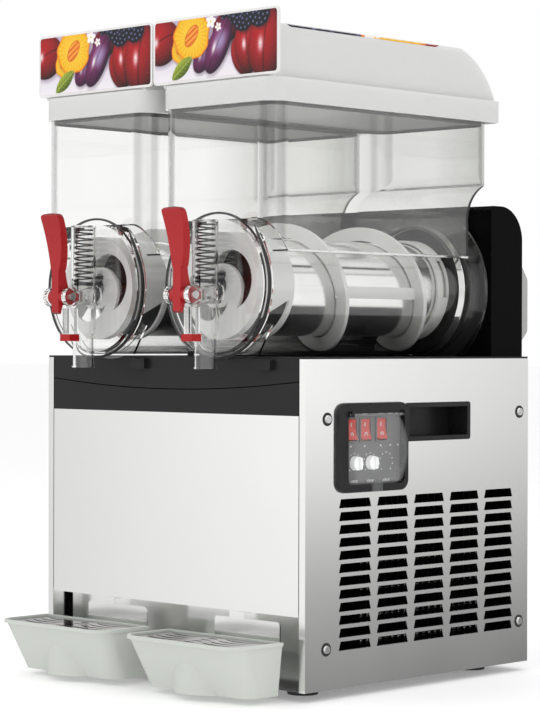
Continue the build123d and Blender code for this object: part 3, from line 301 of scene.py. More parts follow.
def condenser_finish():
    """Fins painted near-black as painted shade in the cabinet's dark inside, with the bright tubes that run
    through them: only a tube has sloping faces.
    """
    fin_shade, tubes = (0.004, 0.004, 0.004), (0.75, 0.75, 0.74)
    finish = brushed("condenser_metal", tubes, 0.3, "Y", 400.0)
    slope = finish.math("ABSOLUTE", finish.axes(finish.normal())[2])
    tube_share = finish.math("MULTIPLY", finish.math("GREATER_THAN", slope, 0.2),
        finish.math("LESS_THAN", slope, 0.98))
    # Painted shade on the fins; the tubes keep their bright metal
    finish.set("Base Color", finish.blend(tube_share, fin_shade, tubes))
    finish.set("Metallic", tube_share)
    finish.set("Specular IOR Level", 0.05)
    return finish


def printed():
    """Glossy film that shows the colours painted on its points."""
    finish = moulded("print", (0.8, 0.8, 0.8), 0.3, 800.0, 0.02, Specular_IOR_Level=0.35)
    finish.set("Base Color", finish.add("Attribute", "Color", {"attribute_name": "print"}))
    return finish


def lid_plastic():
    """White moulded lid, thin enough for a little light to come through, and with painted light: its
    downward faces glow, as if lit through the lid.
    """
    finish = moulded("lid_white", (0.80, 0.80, 0.795), 0.38, 600.0, 0.04, 0.98, Specular_IOR_Level=0.3)
    through = finish.add("BsdfTranslucent", "BSDF", Color=(0.75, 0.75, 0.74, 1))
    upwards = finish.axes(finish.normal())[2]
    # Painted light: faces that point down glow by emission
    finish.set("Emission Color", (1.0, 1.0, 0.99, 1))
    finish.set("Emission Strength", finish.map(upwards, 0.55, 0, -0.6, -0.1))
    finish.finish_with(finish.add("MixShader", 0, _0=0.22, _1=finish.shader.outputs["BSDF"], _2=through))
    return finish


def lever_plastic():
    """Red lever plastic, with painted shade that darkens it where it turns away."""
    red, deep = (0.42, 0.016, 0.020), (0.05, 0.001, 0.002)
    finish = moulded("lever_red", red, 0.3, 500.0, 0.04, Specular_IOR_Level=0.3)
    # Painted shade: the deep red colour is blended in where the lever turns away from the eye
    paint_edge_shade(finish, red, deep, 0.3)
    return finish


# ================================ Finishes, one for each slot ================================


def make_finishes():
    """Every finish, by the material slot that wears it."""
    return {
        "stainless": cabinet_steel((0.93, 0.93, 0.92)),
        "pan_steel": brushed("pan_steel", (0.20, 0.20, 0.21), 0.4, "X", 300.0),
        "foot_rubber": moulded("foot_rubber", (0.03, 0.03, 0.03), 0.75, 500.0, 0.2),
        "trim_plastic": moulded("trim_plastic", (0.016, 0.016, 0.017), 0.35, 900.0, 0.08,
            Specular_IOR_Level=0.22),
        "screw_steel": brushed("screw_steel", (0.72, 0.72, 0.72), 0.2, "Y"),
        "bezel_plastic": moulded("bezel_plastic", (0.014, 0.014, 0.015), 0.3, 900.0, 0.1,
            Specular_IOR_Level=0.3),
        "control_face": moulded("control_face", (0.19, 0.185, 0.185), 0.35, 1500.0, 0.05, 0.8),
        "rocker_red": moulded("rocker_red", (0.52, 0.06, 0.05), 0.25, 900.0, 0.02,
            Emission_Color=(1.0, 0.12, 0.08, 1), Emission_Strength=0.14),
        # Painted light: the knobs glow a little, to brighten them
        "knob_white": moulded("knob_white", (0.90, 0.90, 0.89), 0.3, 800.0, 0.03,
            Emission_Color=(1.0, 1.0, 1.0, 1), Emission_Strength=0.28),
        "cover_clear": splash_cover(),
        "tray_plastic": tray_finish(),
        "grid_steel": grid_finish(),
        "housing_black": moulded("housing_black", (0.003, 0.003, 0.0033), 0.25, 600.0, 0.02,
            Specular_IOR_Level=0.03),
        "rear_metal": moulded("rear_metal", (0.42, 0.42, 0.41), 0.4, 800.0, 0.06),
        "bowl_clear": bowl_plastic(),
        "lid_white": lid_plastic(),
        "sign_face": moulded("sign_face", (0.82, 0.81, 0.80), 0.25, 600.0, 0.03),
        "drum_steel": brushed("drum_steel", (0.90, 0.90, 0.895), 0.15, "X", 1200.0, 0.03),
        "auger_white": moulded("auger_white", (0.88, 0.88, 0.86), 0.35, 700.0, 0.06,
            Subsurface_Weight=0.35, Subsurface_Radius=(0.006, 0.006, 0.005), Subsurface_Scale=0.5),
        "shaft_steel": brushed("shaft_steel", (0.68, 0.68, 0.68), 0.2, "X"),
        "nut_grey": moulded("nut_grey", (0.05, 0.05, 0.055), 0.4),
        "gasket_rubber": moulded("gasket_rubber", (0.02, 0.02, 0.02), 0.6, 400.0, 0.15),
        "tap_clear": clear("tap_clear", (0.97, 0.972, 0.968), 0.012, 0.12),
        "piston_plastic": clear("piston_plastic", (0.72, 0.72, 0.71), 0.15, 0.3),
        "spring_steel": brushed("spring_steel", (0.04, 0.04, 0.041), 0.3, "Z"),
        "lever_red": lever_plastic(),
        "pin_steel": brushed("pin_steel", (0.72, 0.72, 0.72), 0.15, "X"),
        "collar_red": moulded("collar_red", (0.45, 0.012, 0.014), 0.3, 500.0, 0.04, 0.85,
            Specular_IOR_Level=0.3),
        "motor_metal": brushed("motor_metal", (0.45, 0.46, 0.47), 0.45, "Y", 200.0, 0.2),
        "compressor_black": moulded("compressor_black", (0.02, 0.02, 0.02), 0.35, 200.0, 0.15),
        "condenser_metal": condenser_finish(),
        "fan_plastic": moulded("fan_plastic", (0.03, 0.03, 0.03), 0.4),
        "copper": brushed("copper", (0.72, 0.36, 0.22), 0.28, "Z", 200.0),
        "cord_black": moulded("cord_black", (0.02, 0.02, 0.02), 0.5, 400.0, 0.1),
        "mark_white": moulded("mark_white", (0.85, 0.85, 0.84), 0.5),
        "rim_grey": moulded("rim_grey", (0.10, 0.10, 0.10), 0.4),
        "filter_black": moulded("filter_black", (0.004, 0.004, 0.004), 0.9, 900.0, 0.3,
            Specular_IOR_Level=0.0),
        "print": printed(),
    }


finishes = make_finishes()
node_slots = {row["node"]: row["material_slot"] for row in frame["record"]["subparts"]}
for node_name, slot_name in node_slots.items():
    node_mesh = frame["nodes"][node_name].data
    node_mesh.materials.clear()
    node_mesh.materials.append(finishes[slot_name].mat)

# ================================ Own pieces ================================


def piece(name, verts, faces, finish, body, smooth=True):
    """A mesh piece from points in metres, riding on a body."""
    mesh = bpy.data.meshes.new(name)
    mesh.from_pydata([tuple(v) for v in verts], [], faces)
    mesh.materials.append(finish.mat)
    made = bpy.data.objects.new(name, mesh)
    scene.collection.objects.link(made)
    recalculate(mesh)
    mesh.polygons.foreach_set("use_smooth", [smooth] * len(mesh.polygons))
    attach(made, body)
    return made


def recalculate(mesh):
    """Turn every face outwards."""
    work = bmesh.new()
    work.from_mesh(mesh)
    bmesh.ops.recalc_face_normals(work, faces=work.faces)
    work.to_mesh(mesh)
    work.free()


def tube(points, radius, around):
    """Round tube along a list of points, closed with a cap at each end."""
    verts, faces = [], []
    side = Vector((0, 0, 1))
    for i, point in enumerate(points):
        ahead = points[min(i + 1, len(points) - 1)] - points[max(i - 1, 0)]
        ahead.normalize()
        across = ahead.cross(side)
        if across.length < 1e-4:
            across = ahead.cross(Vector((1, 0, 0)))
        across.normalize()
        side = across.cross(ahead).normalized()
        for k in range(around):
            turn = 2 * math.pi * k / around
            verts.append(point + radius * (math.cos(turn) * across + math.sin(turn) * side))
    for i in range(len(points) - 1):
        for k in range(around):
            a, b = i * around + k, i * around + (k + 1) % around
            faces.append((a, b, b + around, a + around))
    faces.append(tuple(range(around)))
    faces.append(tuple(reversed(range(len(verts) - around, len(verts)))))
    return verts, faces


# ---- Painted fruit, for the signs and the films on the lids ----


class Painting:
    """Colours on a grid of points, painted shape over shape. Millimetres from the lower left corner."""

    def __init__(self, across, up):
        self.x, self.y = across, up
        self.colour = np.zeros((len(across), 3))
        pale = np.clip(up / up.max(), 0, 1)[:, None]
        self.colour[:] = np.array((0.93, 0.91, 0.93)) * (1 - pale) + np.array((0.74, 0.68, 0.78)) * pale

    def cover(self, share, colour):
        """Lay a colour over the picture, by its share at each point."""
        share = np.clip(share, 0, 1)[:, None]
        self.colour = self.colour * (1 - share) + np.asarray(colour) * share

    def oval(self, at, size, turn):
        """Own coordinates inside a turned oval, and how far inside its edge each point is."""
        swing = math.radians(turn)
        dx, dy = self.x - at[0], self.y - at[1]
        u = (dx * math.cos(swing) + dy * math.sin(swing)) / size[0]
        v = (-dx * math.sin(swing) + dy * math.cos(swing)) / size[1]
        inside = (1 - np.hypot(u, v)) * min(size) / 0.7
        return u, v, inside

    def shadow(self, at, size, turn, strength=0.45):
        """Soft shadow a little below and to the right."""
        u, v, _ = self.oval((at[0] + 1.5, at[1] - 2.5), (size[0] * 1.12, size[1] * 1.12), turn)
        soft = np.clip((1 - np.hypot(u, v)) * 3, 0, 1) * strength
        self.cover(soft, (0.16, 0.10, 0.16))

    def plum(self, at, size, turn, dark, light, bloom=0.0):
        """Round fruit with a shaded side, a seam, a highlight and a waxy bloom."""
        self.shadow(at, size, turn)
        u, v, inside = self.oval(at, size, turn)
        swing = math.radians(turn)
        height = np.sqrt(np.clip(1 - u * u - v * v, 0, 1))
        right = u * math.cos(swing) - v * math.sin(swing)
        up = u * math.sin(swing) + v * math.cos(swing)
        lit = np.clip(0.15 + 0.75 * height - 0.30 * right + 0.35 * up, 0, 1)[:, None]
        body = np.array(dark) * (1 - lit) + np.array(light) * lit
        mist = np.clip(np.sin(u * 3.1 + 1.0) * np.cos(v * 2.3), 0, 1)[:, None] * bloom
        body = body * (1 - mist) + np.array((0.68, 0.66, 0.80)) * mist
        seam = np.exp(-((v - 0.16 * (1 - u * u)) / 0.035) ** 2)[:, None] * 0.45
        body = body * (1 - seam)
        shine = np.exp(-((right + 0.34) ** 2 / 0.018 + (up - 0.05) ** 2 / 0.05))[:, None]
        body = body * (1 - 0.85 * shine) + 0.85 * shine
        self.cover(inside, body)

    def drops(self, at, size, count, draw):
        """Water drops on a fruit."""
        for _ in range(count):
            turn, far = draw.uniform(0, 2 * math.pi), 0.8 * math.sqrt(draw.uniform(0, 1))
            spot = (at[0] + size[0] * far * math.cos(turn), at[1] + size[1] * far * math.sin(turn))
            width = draw.uniform(0.5, 1.1)
            _, v, inside = self.oval(spot, (width, width * 1.2), 0)
            self.cover(inside * 0.5, (0.35, 0.03, 0.05))
            self.cover(inside * np.clip(-v, 0, 1), (1.0, 0.80, 0.80))

    def apricot(self, at, radius, turn):
        """Cut apricot half with its stone."""
        self.shadow(at, (radius, radius * 0.95), turn)
        u, v, _ = self.oval(at, (radius, radius * 0.95), turn)
        angle = np.arctan2(v, u)
        far = np.hypot(u, v) / (1 + 0.035 * np.sin(5 * angle) + 0.02 * np.sin(9 * angle + 1))
        self.cover((1 - far) * radius / 0.7, (0.93, 0.52, 0.06))
        flesh = np.clip(1 - far, 0, 1)[:, None]
        fibres = (0.5 + 0.5 * np.sin(angle * 26 + far * 4))[:, None] * 0.08
        inner = np.array((0.99, 0.72, 0.10)) * (1 - flesh) + np.array((1.0, 0.84, 0.28)) * flesh
        self.cover((0.93 - far) * radius / 0.7, inner * (1 - fibres))
        u, v, inside = self.oval(at, (radius * 0.46, radius * 0.27), turn + 38)
        self.cover(inside + 1.2, (0.80, 0.40, 0.05))
        grain = (0.5 + 0.5 * np.sin(v * 9 + u * 5))[:, None]
        self.cover(inside, np.array((0.85, 0.36, 0.08)) * (1 - grain) + np.array((0.98, 0.66, 0.26)) * grain)

    def leaf(self, at, length, width, turn):
        """Pointed leaf with a midrib and side veins."""
        swing = math.radians(turn)
        dx, dy = self.x - at[0], self.y - at[1]
        u = (dx * math.cos(swing) + dy * math.sin(swing)) / length
        v = (-dx * math.sin(swing) + dy * math.cos(swing)) / width
        edge = np.clip(1 - u * u, 0, 1) ** 0.8
        inside = (edge - np.abs(v)) * width / 0.6
        veins = 0.5 + 0.5 * np.sin((u - np.abs(v) * 0.35) * 24)
        tone = np.clip(0.45 + 0.4 * v + 0.2 * veins, 0, 1)[:, None]
        self.cover(inside, np.array((0.20, 0.27, 0.05)) * (1 - tone) + np.array((0.66, 0.72, 0.26)) * tone)
        self.cover(np.where(np.abs(u) < 1, 1 - np.abs(v) / 0.07, 0) * 0.8, (0.80, 0.90, 0.50))

    def berry(self, at, radius):
        """Blackberry: small shiny beads in rings."""
        self.shadow(at, (radius, radius), 0, 0.6)
        _, _, inside = self.oval(at, (radius, radius), 0)
        self.cover(inside, (0.05, 0.05, 0.09))
        for ring, beads in ((0.82, 13), (0.5, 8), (0.18, 4)):
            for k in range(beads):
                turn = 2 * math.pi * (k + 0.5 * ring) / beads
                spot = (at[0] + radius * ring * math.cos(turn), at[1] + radius * ring * math.sin(turn))
                size = radius * 0.21
                u, v, within = self.oval(spot, (size, size), 0)
                glow = np.clip(0.6 - np.hypot(u + 0.3, v - 0.35), 0, 1)[:, None]
                self.cover(within, np.array((0.07, 0.07, 0.13)) + glow * np.array((0.75, 0.80, 0.95)))

    def blossom(self, at, radius, turn):
        """Small white flower."""
        for k in range(5):
            swing = math.radians(turn + 72 * k)
            spot = (at[0] + 0.55 * radius * math.cos(swing), at[1] + 0.55 * radius * math.sin(swing))
            _, _, inside = self.oval(spot, (radius * 0.5, radius * 0.38), turn + 72 * k)
            self.cover(inside, (0.97, 0.95, 0.94))
        _, _, inside = self.oval(at, (radius * 0.2, radius * 0.2), 0)
        self.cover(inside, (0.90, 0.80, 0.30))

    def linear(self):
        """The colours as scene-linear values with full cover."""
        return np.column_stack((np.clip(self.colour, 0, 1) ** 2.2, np.ones(len(self.x))))


RED = ((0.16, 0.004, 0.02), (0.66, 0.06, 0.09))
WINE = ((0.12, 0.01, 0.05), (0.45, 0.06, 0.14))
VIOLET = ((0.12, 0.03, 0.13), (0.46, 0.16, 0.36))


def paint_fruit(across, up, width, height, seed):
    """Own arrangement of fruit, spread over a picture of this width and height."""
    art = Painting(across, up)
    draw = np.random.default_rng(seed)
    w, h = width, height

    def at(share_x, share_y):
        return (w * share_x, h * share_y)

    dusk = np.clip((across / w - 0.42) * 4, 0, 1) * np.clip((up / h - 0.30) * 3, 0, 1)
    art.cover(dusk * 0.9, (0.26, 0.13, 0.22))
    art.plum(at(0.60, 0.80), (h * 0.34, h * 0.26), 20, *WINE)
    art.plum(at(0.99, 0.82), (h * 0.46, h * 0.40), 70, *WINE)
    art.plum(at(0.73, 0.30), (h * 0.36, h * 0.25), 118, *RED)
    art.plum(at(0.78, 0.46), (h * 0.46, h * 0.34), 96, *RED)
    art.plum(at(0.92, 0.44), (h * 0.56, h * 0.42), 84, *RED)
    art.drops(at(0.92, 0.50), (h * 0.34, h * 0.46), 40, draw)
    art.drops(at(0.78, 0.50), (h * 0.26, h * 0.34), 18, draw)
    art.berry(at(0.62, 1.00), h * 0.20)
    art.berry(at(0.73, 0.93), h * 0.24)
    art.berry(at(0.86, 0.98), h * 0.25)
    art.plum(at(0.06, 0.66), (h * 0.44, h * 0.38), 20, *RED)
    art.drops(at(0.06, 0.70), (h * 0.36, h * 0.32), 22, draw)
    art.plum(at(0.41, 0.36), (h * 0.32, h * 0.20), 50, *VIOLET, bloom=0.5)
    art.plum(at(0.53, 0.50), (h * 0.50, h * 0.24), 60, *VIOLET, bloom=0.75)
    art.apricot(at(0.23, 0.50), h * 0.26, -30)
    art.apricot(at(0.31, 0.72), h * 0.43, 12)
    art.leaf(at(0.23, 0.20), h * 0.30, h * 0.13, 36)
    art.blossom(at(0.47, 0.92), h * 0.12, 10)
    art.blossom(at(0.53, 0.82), h * 0.08, 40)
    return art.linear()


def printed_film(name, points, columns, rows, thickness, towards, colours, body):
    """Thin printed sheet: a fine grid on its printed side, closed with a back and edges."""
    back = [p - Vector(facing) * thickness for p, facing in zip(points, towards)]
    count = len(points)
    faces = []
    for j in range(rows - 1):
        for i in range(columns - 1):
            a = j * columns + i
            faces.append((a, a + 1, a + 1 + columns, a + columns))
            faces.append(tuple(count + k for k in (a + columns, a + 1 + columns, a + 1, a)))
    rim = ([i for i in range(columns)] + [j * columns + columns - 1 for j in range(1, rows)]
        + [(rows - 1) * columns + i for i in range(columns - 2, -1, -1)]
        + [j * columns for j in range(rows - 2, 0, -1)])
    for k, a in enumerate(rim):
        b = rim[(k + 1) % len(rim)]
        faces.append((b, a, count + a, count + b))
    made = piece(name, list(points) + back, faces, finishes["print"], body)
    layer = made.data.attributes.new("print", "FLOAT_COLOR", "POINT")
    layer.data.foreach_set("color", np.vstack((colours, colours)).ravel().astype(np.float32))
    return made


def rounded(x, y, width, height, radius):
    """Pull a rectangle's grid points in onto its rounded corners."""
    cx = np.clip(x, radius, width - radius)
    cy = np.clip(y, radius, height - radius)
    dx, dy = x - cx, y - cy
    square = np.maximum(np.abs(dx), np.abs(dy))
    far = np.hypot(dx, dy)
    scale = np.where(far > 1e-9, square / np.maximum(far, 1e-9), 1.0)
    return cx + dx * scale, cy + dy * scale


def add_signs():
    """Fruit print on the sign at the front of each lid."""
    border, step, proud, thick, corner = 2.6, 0.62, 0.12, 0.1, 3.5
    for side in SIDES:
        low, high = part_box(f"lid_sign_{side}")
        width = (high.x - low.x) / MM - 2 * border
        height = (high.z - low.z) / MM - 2 * border
        columns, rows = int(width / step), int(height / step)
        u, v = np.meshgrid(np.linspace(0, width, columns), np.linspace(0, height, rows))
        u, v = rounded(u.ravel(), v.ravel(), width, height, corner)
        colours = paint_fruit(u, v, width, height, 7)
        points = [low + Vector((border + a, -proud, border + b)) * MM for a, b in zip(u, v)]
        printed_film(f"sign_print_{side}", points, columns, rows, thick * MM, [(0, -1, 0)] * len(points),
            colours, f"lid_{side}")


def add_lid_films():
    """Fruit film along the top of each lid, laid on the lid's own surface and folded over its edges."""
    half, edge, front, rear, corner, step = 83.2, 80.6, -190.0, 58.0, 12.0, 1.3
    over, beside, thick = 0.25, 0.65, 0.2
    for side, x in SIDES.items():
        lid = frame["nodes"][f"lid_{side}"]
        columns, rows = int(2 * half / step), int((rear - front) / step)
        u, v = np.meshgrid(np.linspace(0, 2 * half, columns), np.linspace(0, rear - front, rows))
        u, v = rounded(u.ravel(), v.ravel(), 2 * half, rear - front, corner)
        points, towards = [], []
        for a, b in zip(u, v):
            out = min(max(a - half, -edge), edge)
            folded = abs(a - half) - edge
            above = place(x + out, front + b, 760)
            hit, spot, _, _ = lid.ray_cast(above, Vector((0, 0, -1)))
            if folded > 0:
                hand = math.copysign(1.0, out)
                points.append(spot + Vector((beside * hand, 0, over - folded)) * MM)
                towards.append((hand, 0, 0))
            else:
                points.append(spot + Vector((0, 0, over)) * MM if hit else above)
                towards.append((0, 0, 1))
        colours = paint_fruit(rear - front - v, u, rear - front, 2 * half, 11)
        printed_film(f"lid_film_{side}", points, columns, rows, thick * MM, towards, colours,
            f"lid_{side}")


# ---- Turned rings ----


def lathe(name, centre, axis, profile, finish, body, around=96):
    """Ring turned about an axis through centre: profile is closed (radius, along) points in millimetres."""
    axes = {"X": ((0, 1, 0), (0, 0, 1), (1, 0, 0)), "Y": ((1, 0, 0), (0, 0, 1), (0, 1, 0))}[axis]
    first, second, along = [Vector(a) for a in axes]
    verts, faces = [], []
    for k in range(around):
        turn = 2 * math.pi * k / around
        spoke = first * math.cos(turn) + second * math.sin(turn)
        verts += [centre + (spoke * r + along * h) * MM for r, h in profile]
    count = len(profile)
    for k in range(around):
        for i in range(count):
            a, b = k * count + i, k * count + (i + 1) % count
            c, d = ((k + 1) % around) * count + (i + 1) % count, ((k + 1) % around) * count + i
            faces.append((a, b, c, d))
    return piece(name, verts, faces, finish, body)


def bead(radius, along, thick, wide, steps=12):
    """Rounded ring section, thick across the radius and wide along the axis."""
    turns = [2 * math.pi * k / steps for k in range(steps)]
    return [(radius + thick / 2 * math.cos(t), along + wide / 2 * math.sin(t)) for t in turns]


def add_bowl_seals():
    """Rubber ring where each bowl's nose meets its barrel."""
    radius, nose_y, thick, wide = 75.3, -203.6, 2.4, 5.0
    for side, x in SIDES.items():
        lathe(f"bowl_nose_seal_{side}", place(x, 0, AXIS_Z), "Y", bead(radius, nose_y, thick, wide),
            finishes["gasket_rubber"], f"bowl_{side}", 128)


def add_hopper_lines():
    """Dark strip around the inside of each hopper, where it meets its lid: painted shade that stands in for
    the shadow in the gap between lid and bowl.
    """
    half, front, rear, low, high = 81.0, -205.0, 140.0, 616.4, 620.2
    corner, thick = 19.5, 0.6
    for side, x in SIDES.items():
        loop = []
        for cx, cy, first in ((x + half - corner, rear - corner, 0), (x - half + corner, rear - corner, 90),
                (x - half + corner, front + corner, 180), (x + half - corner, front + corner, 270)):
            for k in range(9):
                turn = math.radians(first + 90 * k / 8)
                loop.append((cx, cy, math.cos(turn), math.sin(turn)))
        verts = [place(cx + r * c, cy + r * d, z) for r, z in ((corner, low), (corner, high),
            (corner - thick, high), (corner - thick, low)) for cx, cy, c, d in loop]
        size = len(loop)
        faces = [(size * j + k, size * j + (k + 1) % size, size * ((j + 1) % 4) + (k + 1) % size,
            size * ((j + 1) % 4) + k) for j in range(4) for k in range(size)]
        # Painted shade: a dark strip in place of the shadow under the lid
        piece(f"hopper_shade_line_{side}", verts, faces, finishes["rim_grey"], f"bowl_{side}")


def add_drum_caps():
    """Black cap on the front of each drum, with its rim bevelled."""
    hole, rim, front, back = 7.0, 51.5, -151.4, -150.3
    profile = [(hole, front), (rim - 1.5, front), (rim, front + 0.5), (rim, back), (hole, back)]
    for side, x in SIDES.items():
        lathe(f"drum_cap_{side}", place(x, 0, AXIS_Z), "Y", profile, finishes["gasket_rubber"], "cabinet")


def add_rocker_marks():
    """A ring on the lower half of each rocker and a bar on its upper half."""
    ring_rise, bar_rise = -5.4, 5.0
    ring = [(1.5, -0.6), (2.3, -0.6), (2.3, 0.45), (1.5, 0.45)]
    bar = Vector((0.5, 0.5, 2.2)) * MM
    for name in SWITCHES:
        low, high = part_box(name)
        middle = (low + high) / 2
        spots = []
        for rise in (ring_rise, bar_rise):
            start = Vector((high.x + 0.02, middle.y, middle.z + rise * MM))
            hit, spot, _, _ = frame["nodes"][name].ray_cast(start, Vector((-1, 0, 0)))
            spots.append(spot if hit else start)
        lathe(f"{name}_ring", spots[0], "X", ring, finishes["mark_white"], name, 24)
        verts, faces = boxes([(spots[1] - bar, spots[1] + bar)])
        piece(f"{name}_bar", verts, faces, finishes["mark_white"], name, False)


def add_screw_washers():
    """Dark washer under each panel screw."""
    panel_x, profile = 200.4, bead(5.9, 0, 2.2, 1.0, 8)
    for sign, side in ((1, "right"), (-1, "left")):
        for k, (y, z) in enumerate(SCREW_SPOTS):
            lathe(f"screw_washer_{side}_{k}", place(sign * panel_x, y, z), "X", profile,
                finishes["foot_rubber"], "cabinet", 32)


def add_springs():
    """Coil spring over each tap's piston, built at one length; the real spring shortens as the lever lifts
    the piston.
    """
    around, wire, outer, keep = 36, 0.95, 11.0, 0.83
    turns, ends = 9.5, 1.2
    count = int((turns + 2 * ends) * around)
    for side in SIDES:
        low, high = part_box(f"tap_spring_{side}")
        centre = (low + high) / 2
        foot = Vector((centre.x, centre.y, low.z))
        open_height = (high.z - low.z) / MM - 2 * wire - 4 * wire * ends
        path = []
        for k in range(count + 1):
            share = k / count * (turns + 2 * ends)
            closed = min(share, ends) + max(share - turns - ends, 0)
            opened = min(max(share - ends, 0) / turns, 1)
            rise = wire + 2 * wire * closed + open_height * opened
            turn = 2 * math.pi * share
            arm = outer - wire
            path.append(foot + Vector((arm * math.cos(turn), arm * math.sin(turn), rise)) * MM)
        verts, faces = tube(path, wire * MM, 8)
        coil = piece(f"tap_coil_{side}", verts, faces, finishes["spring_steel"], f"bowl_{side}")
        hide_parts(f"tap_spring_{side}")
        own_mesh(coil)


# ---- Control marks and the dark ribbed sheet of painted shade ----


def boxes(spots):
    """Corners and faces of many small boxes, each from its low and high corner."""
    verts, faces = [], []
    for low, high in spots:
        base = len(verts)
        verts += [Vector(corner) for corner in product((low.x, high.x), (low.y, high.y), (low.z, high.z))]
        faces += [tuple(base + k for k in quad) for quad in (
            (0, 1, 3, 2), (4, 6, 7, 5), (0, 4, 5, 1), (2, 3, 7, 6), (0, 2, 6, 4), (1, 5, 7, 3))]
    return verts, faces


def add_control_marks():
    """Plain ticks round the knobs and short bars by the rockers, in place of any lettering."""
    face, thick, ring = 196.5, 0.15, 10.2
    under_knobs, above_rockers, under_rockers = 230.5, 300.6, 266.8
    knobs, columns = (-104.0, -79.5, -54.5), (-109.5, -88.0, -63.0, -48.0, -36.0)
    gap = 2.6
    spots = []

    def mark(y, z, wide, high):
        low = place(face, y - wide / 2, z - high / 2)
        spots.append((low, low + Vector((thick, wide, high)) * MM))

    for y in knobs:
        for k in range(9):
            turn = math.radians(-135 + 270 * k / 8)
            mark(y + ring * math.sin(turn), KNOB_Z + ring * math.cos(turn), 1.3, 1.3)
        for k in range(4):
            mark(y + gap * (k - 1.5), under_knobs, 1.7, 2.4 if k % 2 else 1.8)
    for y in columns:
        for k in range(3):
            mark(y + gap * (k - 1), above_rockers, 1.8, 1.7)
        mark(y, under_rockers, 1.8, 1.8)
    verts, faces = boxes(spots)
    piece("control_marks", verts, faces, finishes["mark_white"], "cabinet", False)


def add_rear_filter():
    """Dark ribbed sheet inside the back panel's openings, shaped like a pleated filter: painted shade that
    keeps the cabinet's inside dark.
    """
    half, front, top, bottom = 178.0, 170.0, 345.0, 34.0
    pleat, depth, thick = 5.0, 3.0, 1.2
    count = int(2 * half / pleat)
    outline = [(-half + pleat * k, front + (depth if k % 2 else 0)) for k in range(count + 1)]
    loop = outline + [(x, y + thick) for x, y in reversed(outline)]
    verts = [place(x, y, z) for z in (bottom, top) for x, y in loop]
    size = len(loop)
    faces = [(k, (k + 1) % size, size + (k + 1) % size, size + k) for k in range(size)]
    for k in range(count):
        a, b = k, size - 1 - k
        faces += [(a, b, b - 1, a + 1), (size + a, size + a + 1, size + b - 1, size + b)]
    # Painted shade: a near-black sheet that hides the light inside the cabinet
    piece("rear_shade_filter", verts, faces, finishes["filter_black"], "cabinet", False)


add_signs()
add_lid_films()
add_bowl_seals()
add_hopper_lines()
add_drum_caps()
add_screw_washers()
add_springs()
add_control_marks()
add_rocker_marks()
add_rear_filter()

# ================================ Camera, light and floor ================================


def add_camera():
    """Camera to the right of the front, level with the middle of the machine."""
    at, lens, sensor = place(1858.5, -1933.5, 373.04), 118.995, 36.0
    yaw, pitch, roll = math.radians(44.291), math.radians(0.387), math.radians(0.144)
    ahead = Vector((-math.sin(yaw) * math.cos(pitch), math.cos(yaw) * math.cos(pitch), -math.sin(pitch)))
    right = Vector((math.cos(yaw), math.sin(yaw), 0))
    up = right.cross(ahead)
    right, up = (right * math.cos(roll) + up * math.sin(roll), up * math.cos(roll) - right * math.sin(roll))
    turn = Matrix((right, up, -ahead)).transposed().to_4x4()
    data = bpy.data.cameras.new("camera")
    data.sensor_width = sensor
    data.lens = lens
    camera = bpy.data.objects.new("camera", data)
    camera.matrix_world = Matrix.Translation(at) @ turn
    scene.collection.objects.link(camera)
    scene.camera = camera


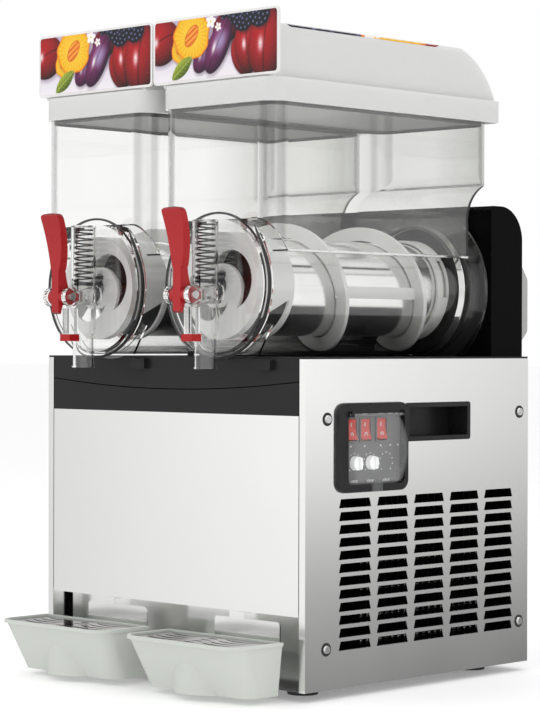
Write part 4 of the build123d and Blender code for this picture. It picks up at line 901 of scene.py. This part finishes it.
def add_world():
    """White to the camera and through clear plastic; a studio with soft grey cards to glossy rays."""
    world = bpy.data.worlds.new("studio")
    scene.world = world
    world.use_nodes = True
    sky = Wiring(world.node_tree, "Background")
    path = sky.nodes.new("ShaderNodeLightPath").outputs
    direction = sky.nodes.new("ShaderNodeTexCoord").outputs["Generated"]
    across, along, up = [sky.add("SeparateXYZ", axis, Vector=direction) for axis in "XYZ"]

    # Each card and each fall goes from one brightness to another between two directions
    behind = sky.map(along, 0.0, 1.0, -0.15, 0.15)
    front_card = sky.map(across, 0.68, 1.05, -0.785, -0.70)
    rear_card = sky.map(across, 0.68, 1.12, 0.60, 0.69)
    cards = sky.mix(behind, front_card, rear_card)
    front_fall = sky.map(up, 0.80, 1.0, -0.3, 0.0)
    rear_fall = sky.map(up, 0.20, 1.0, -0.125, -0.03)
    fall = sky.mix(behind, front_fall, rear_fall)
    deep = sky.map(up, 0.35, 1.0, -0.8, -0.3)
    studio = sky.math("MULTIPLY", sky.math("MULTIPLY", cards, fall), deep)
    floor_glow = sky.map(up, 0.62, 0.0, -0.5, -0.3)
    glossy = sky.math("MAXIMUM", floor_glow, studio)

    ambient = 0.80
    lit = sky.mix(path["Is Glossy Ray"], ambient, glossy)
    seen = sky.math("MAXIMUM", path["Is Camera Ray"], path["Is Transmission Ray"])
    sky.set("Color", sky.mix(seen, lit, 1.0))


def add_light(name, spot, size, power):
    """Square lamp aimed at the middle of the machine: size in metres, power in watts."""
    aim = place(0, 0, 300)
    data = bpy.data.lights.new(name, "AREA")
    data.shape = "SQUARE"
    data.size = size
    data.energy = power
    lamp = bpy.data.objects.new(name, data)
    turn = (aim - spot).to_track_quat("-Z", "Y").to_matrix().to_4x4()
    lamp.matrix_world = Matrix.Translation(spot) @ turn
    scene.collection.objects.link(lamp)


def add_floor():
    """Pale paper floor that runs out of sight."""
    half = 30.0
    corners = [(-half, -half, 0), (half, -half, 0), (half, half, 0), (-half, half, 0)]
    mesh = bpy.data.meshes.new("floor")
    mesh.from_pydata(corners, [], [(0, 1, 2, 3)])
    finish = Finish("floor_paper", (0.93, 0.93, 0.93), 0.6,
        Emission_Color=(1, 1, 1, 1), Emission_Strength=0.22)
    finish.bump(finish.noise(40.0), 0.02)
    mesh.materials.append(finish.mat)
    floor = bpy.data.objects.new("floor", mesh)
    scene.collection.objects.link(floor)
    floor.visible_glossy = False


add_camera()
add_world()
add_floor()
add_light("key", place(-1400, -2200, 2300), 2.2, 16.0)
add_light("fill", place(2600, -700, 1500), 2.0, 8.0)
add_light("top", place(0, 300, 2600), 1.8, 10.0)
scene.view_settings.view_transform = "Standard"
scene.cycles.max_bounces = 24
scene.cycles.transmission_bounces = 24
scene.cycles.transparent_max_bounces = 32
scene.cycles.glossy_bounces = 8
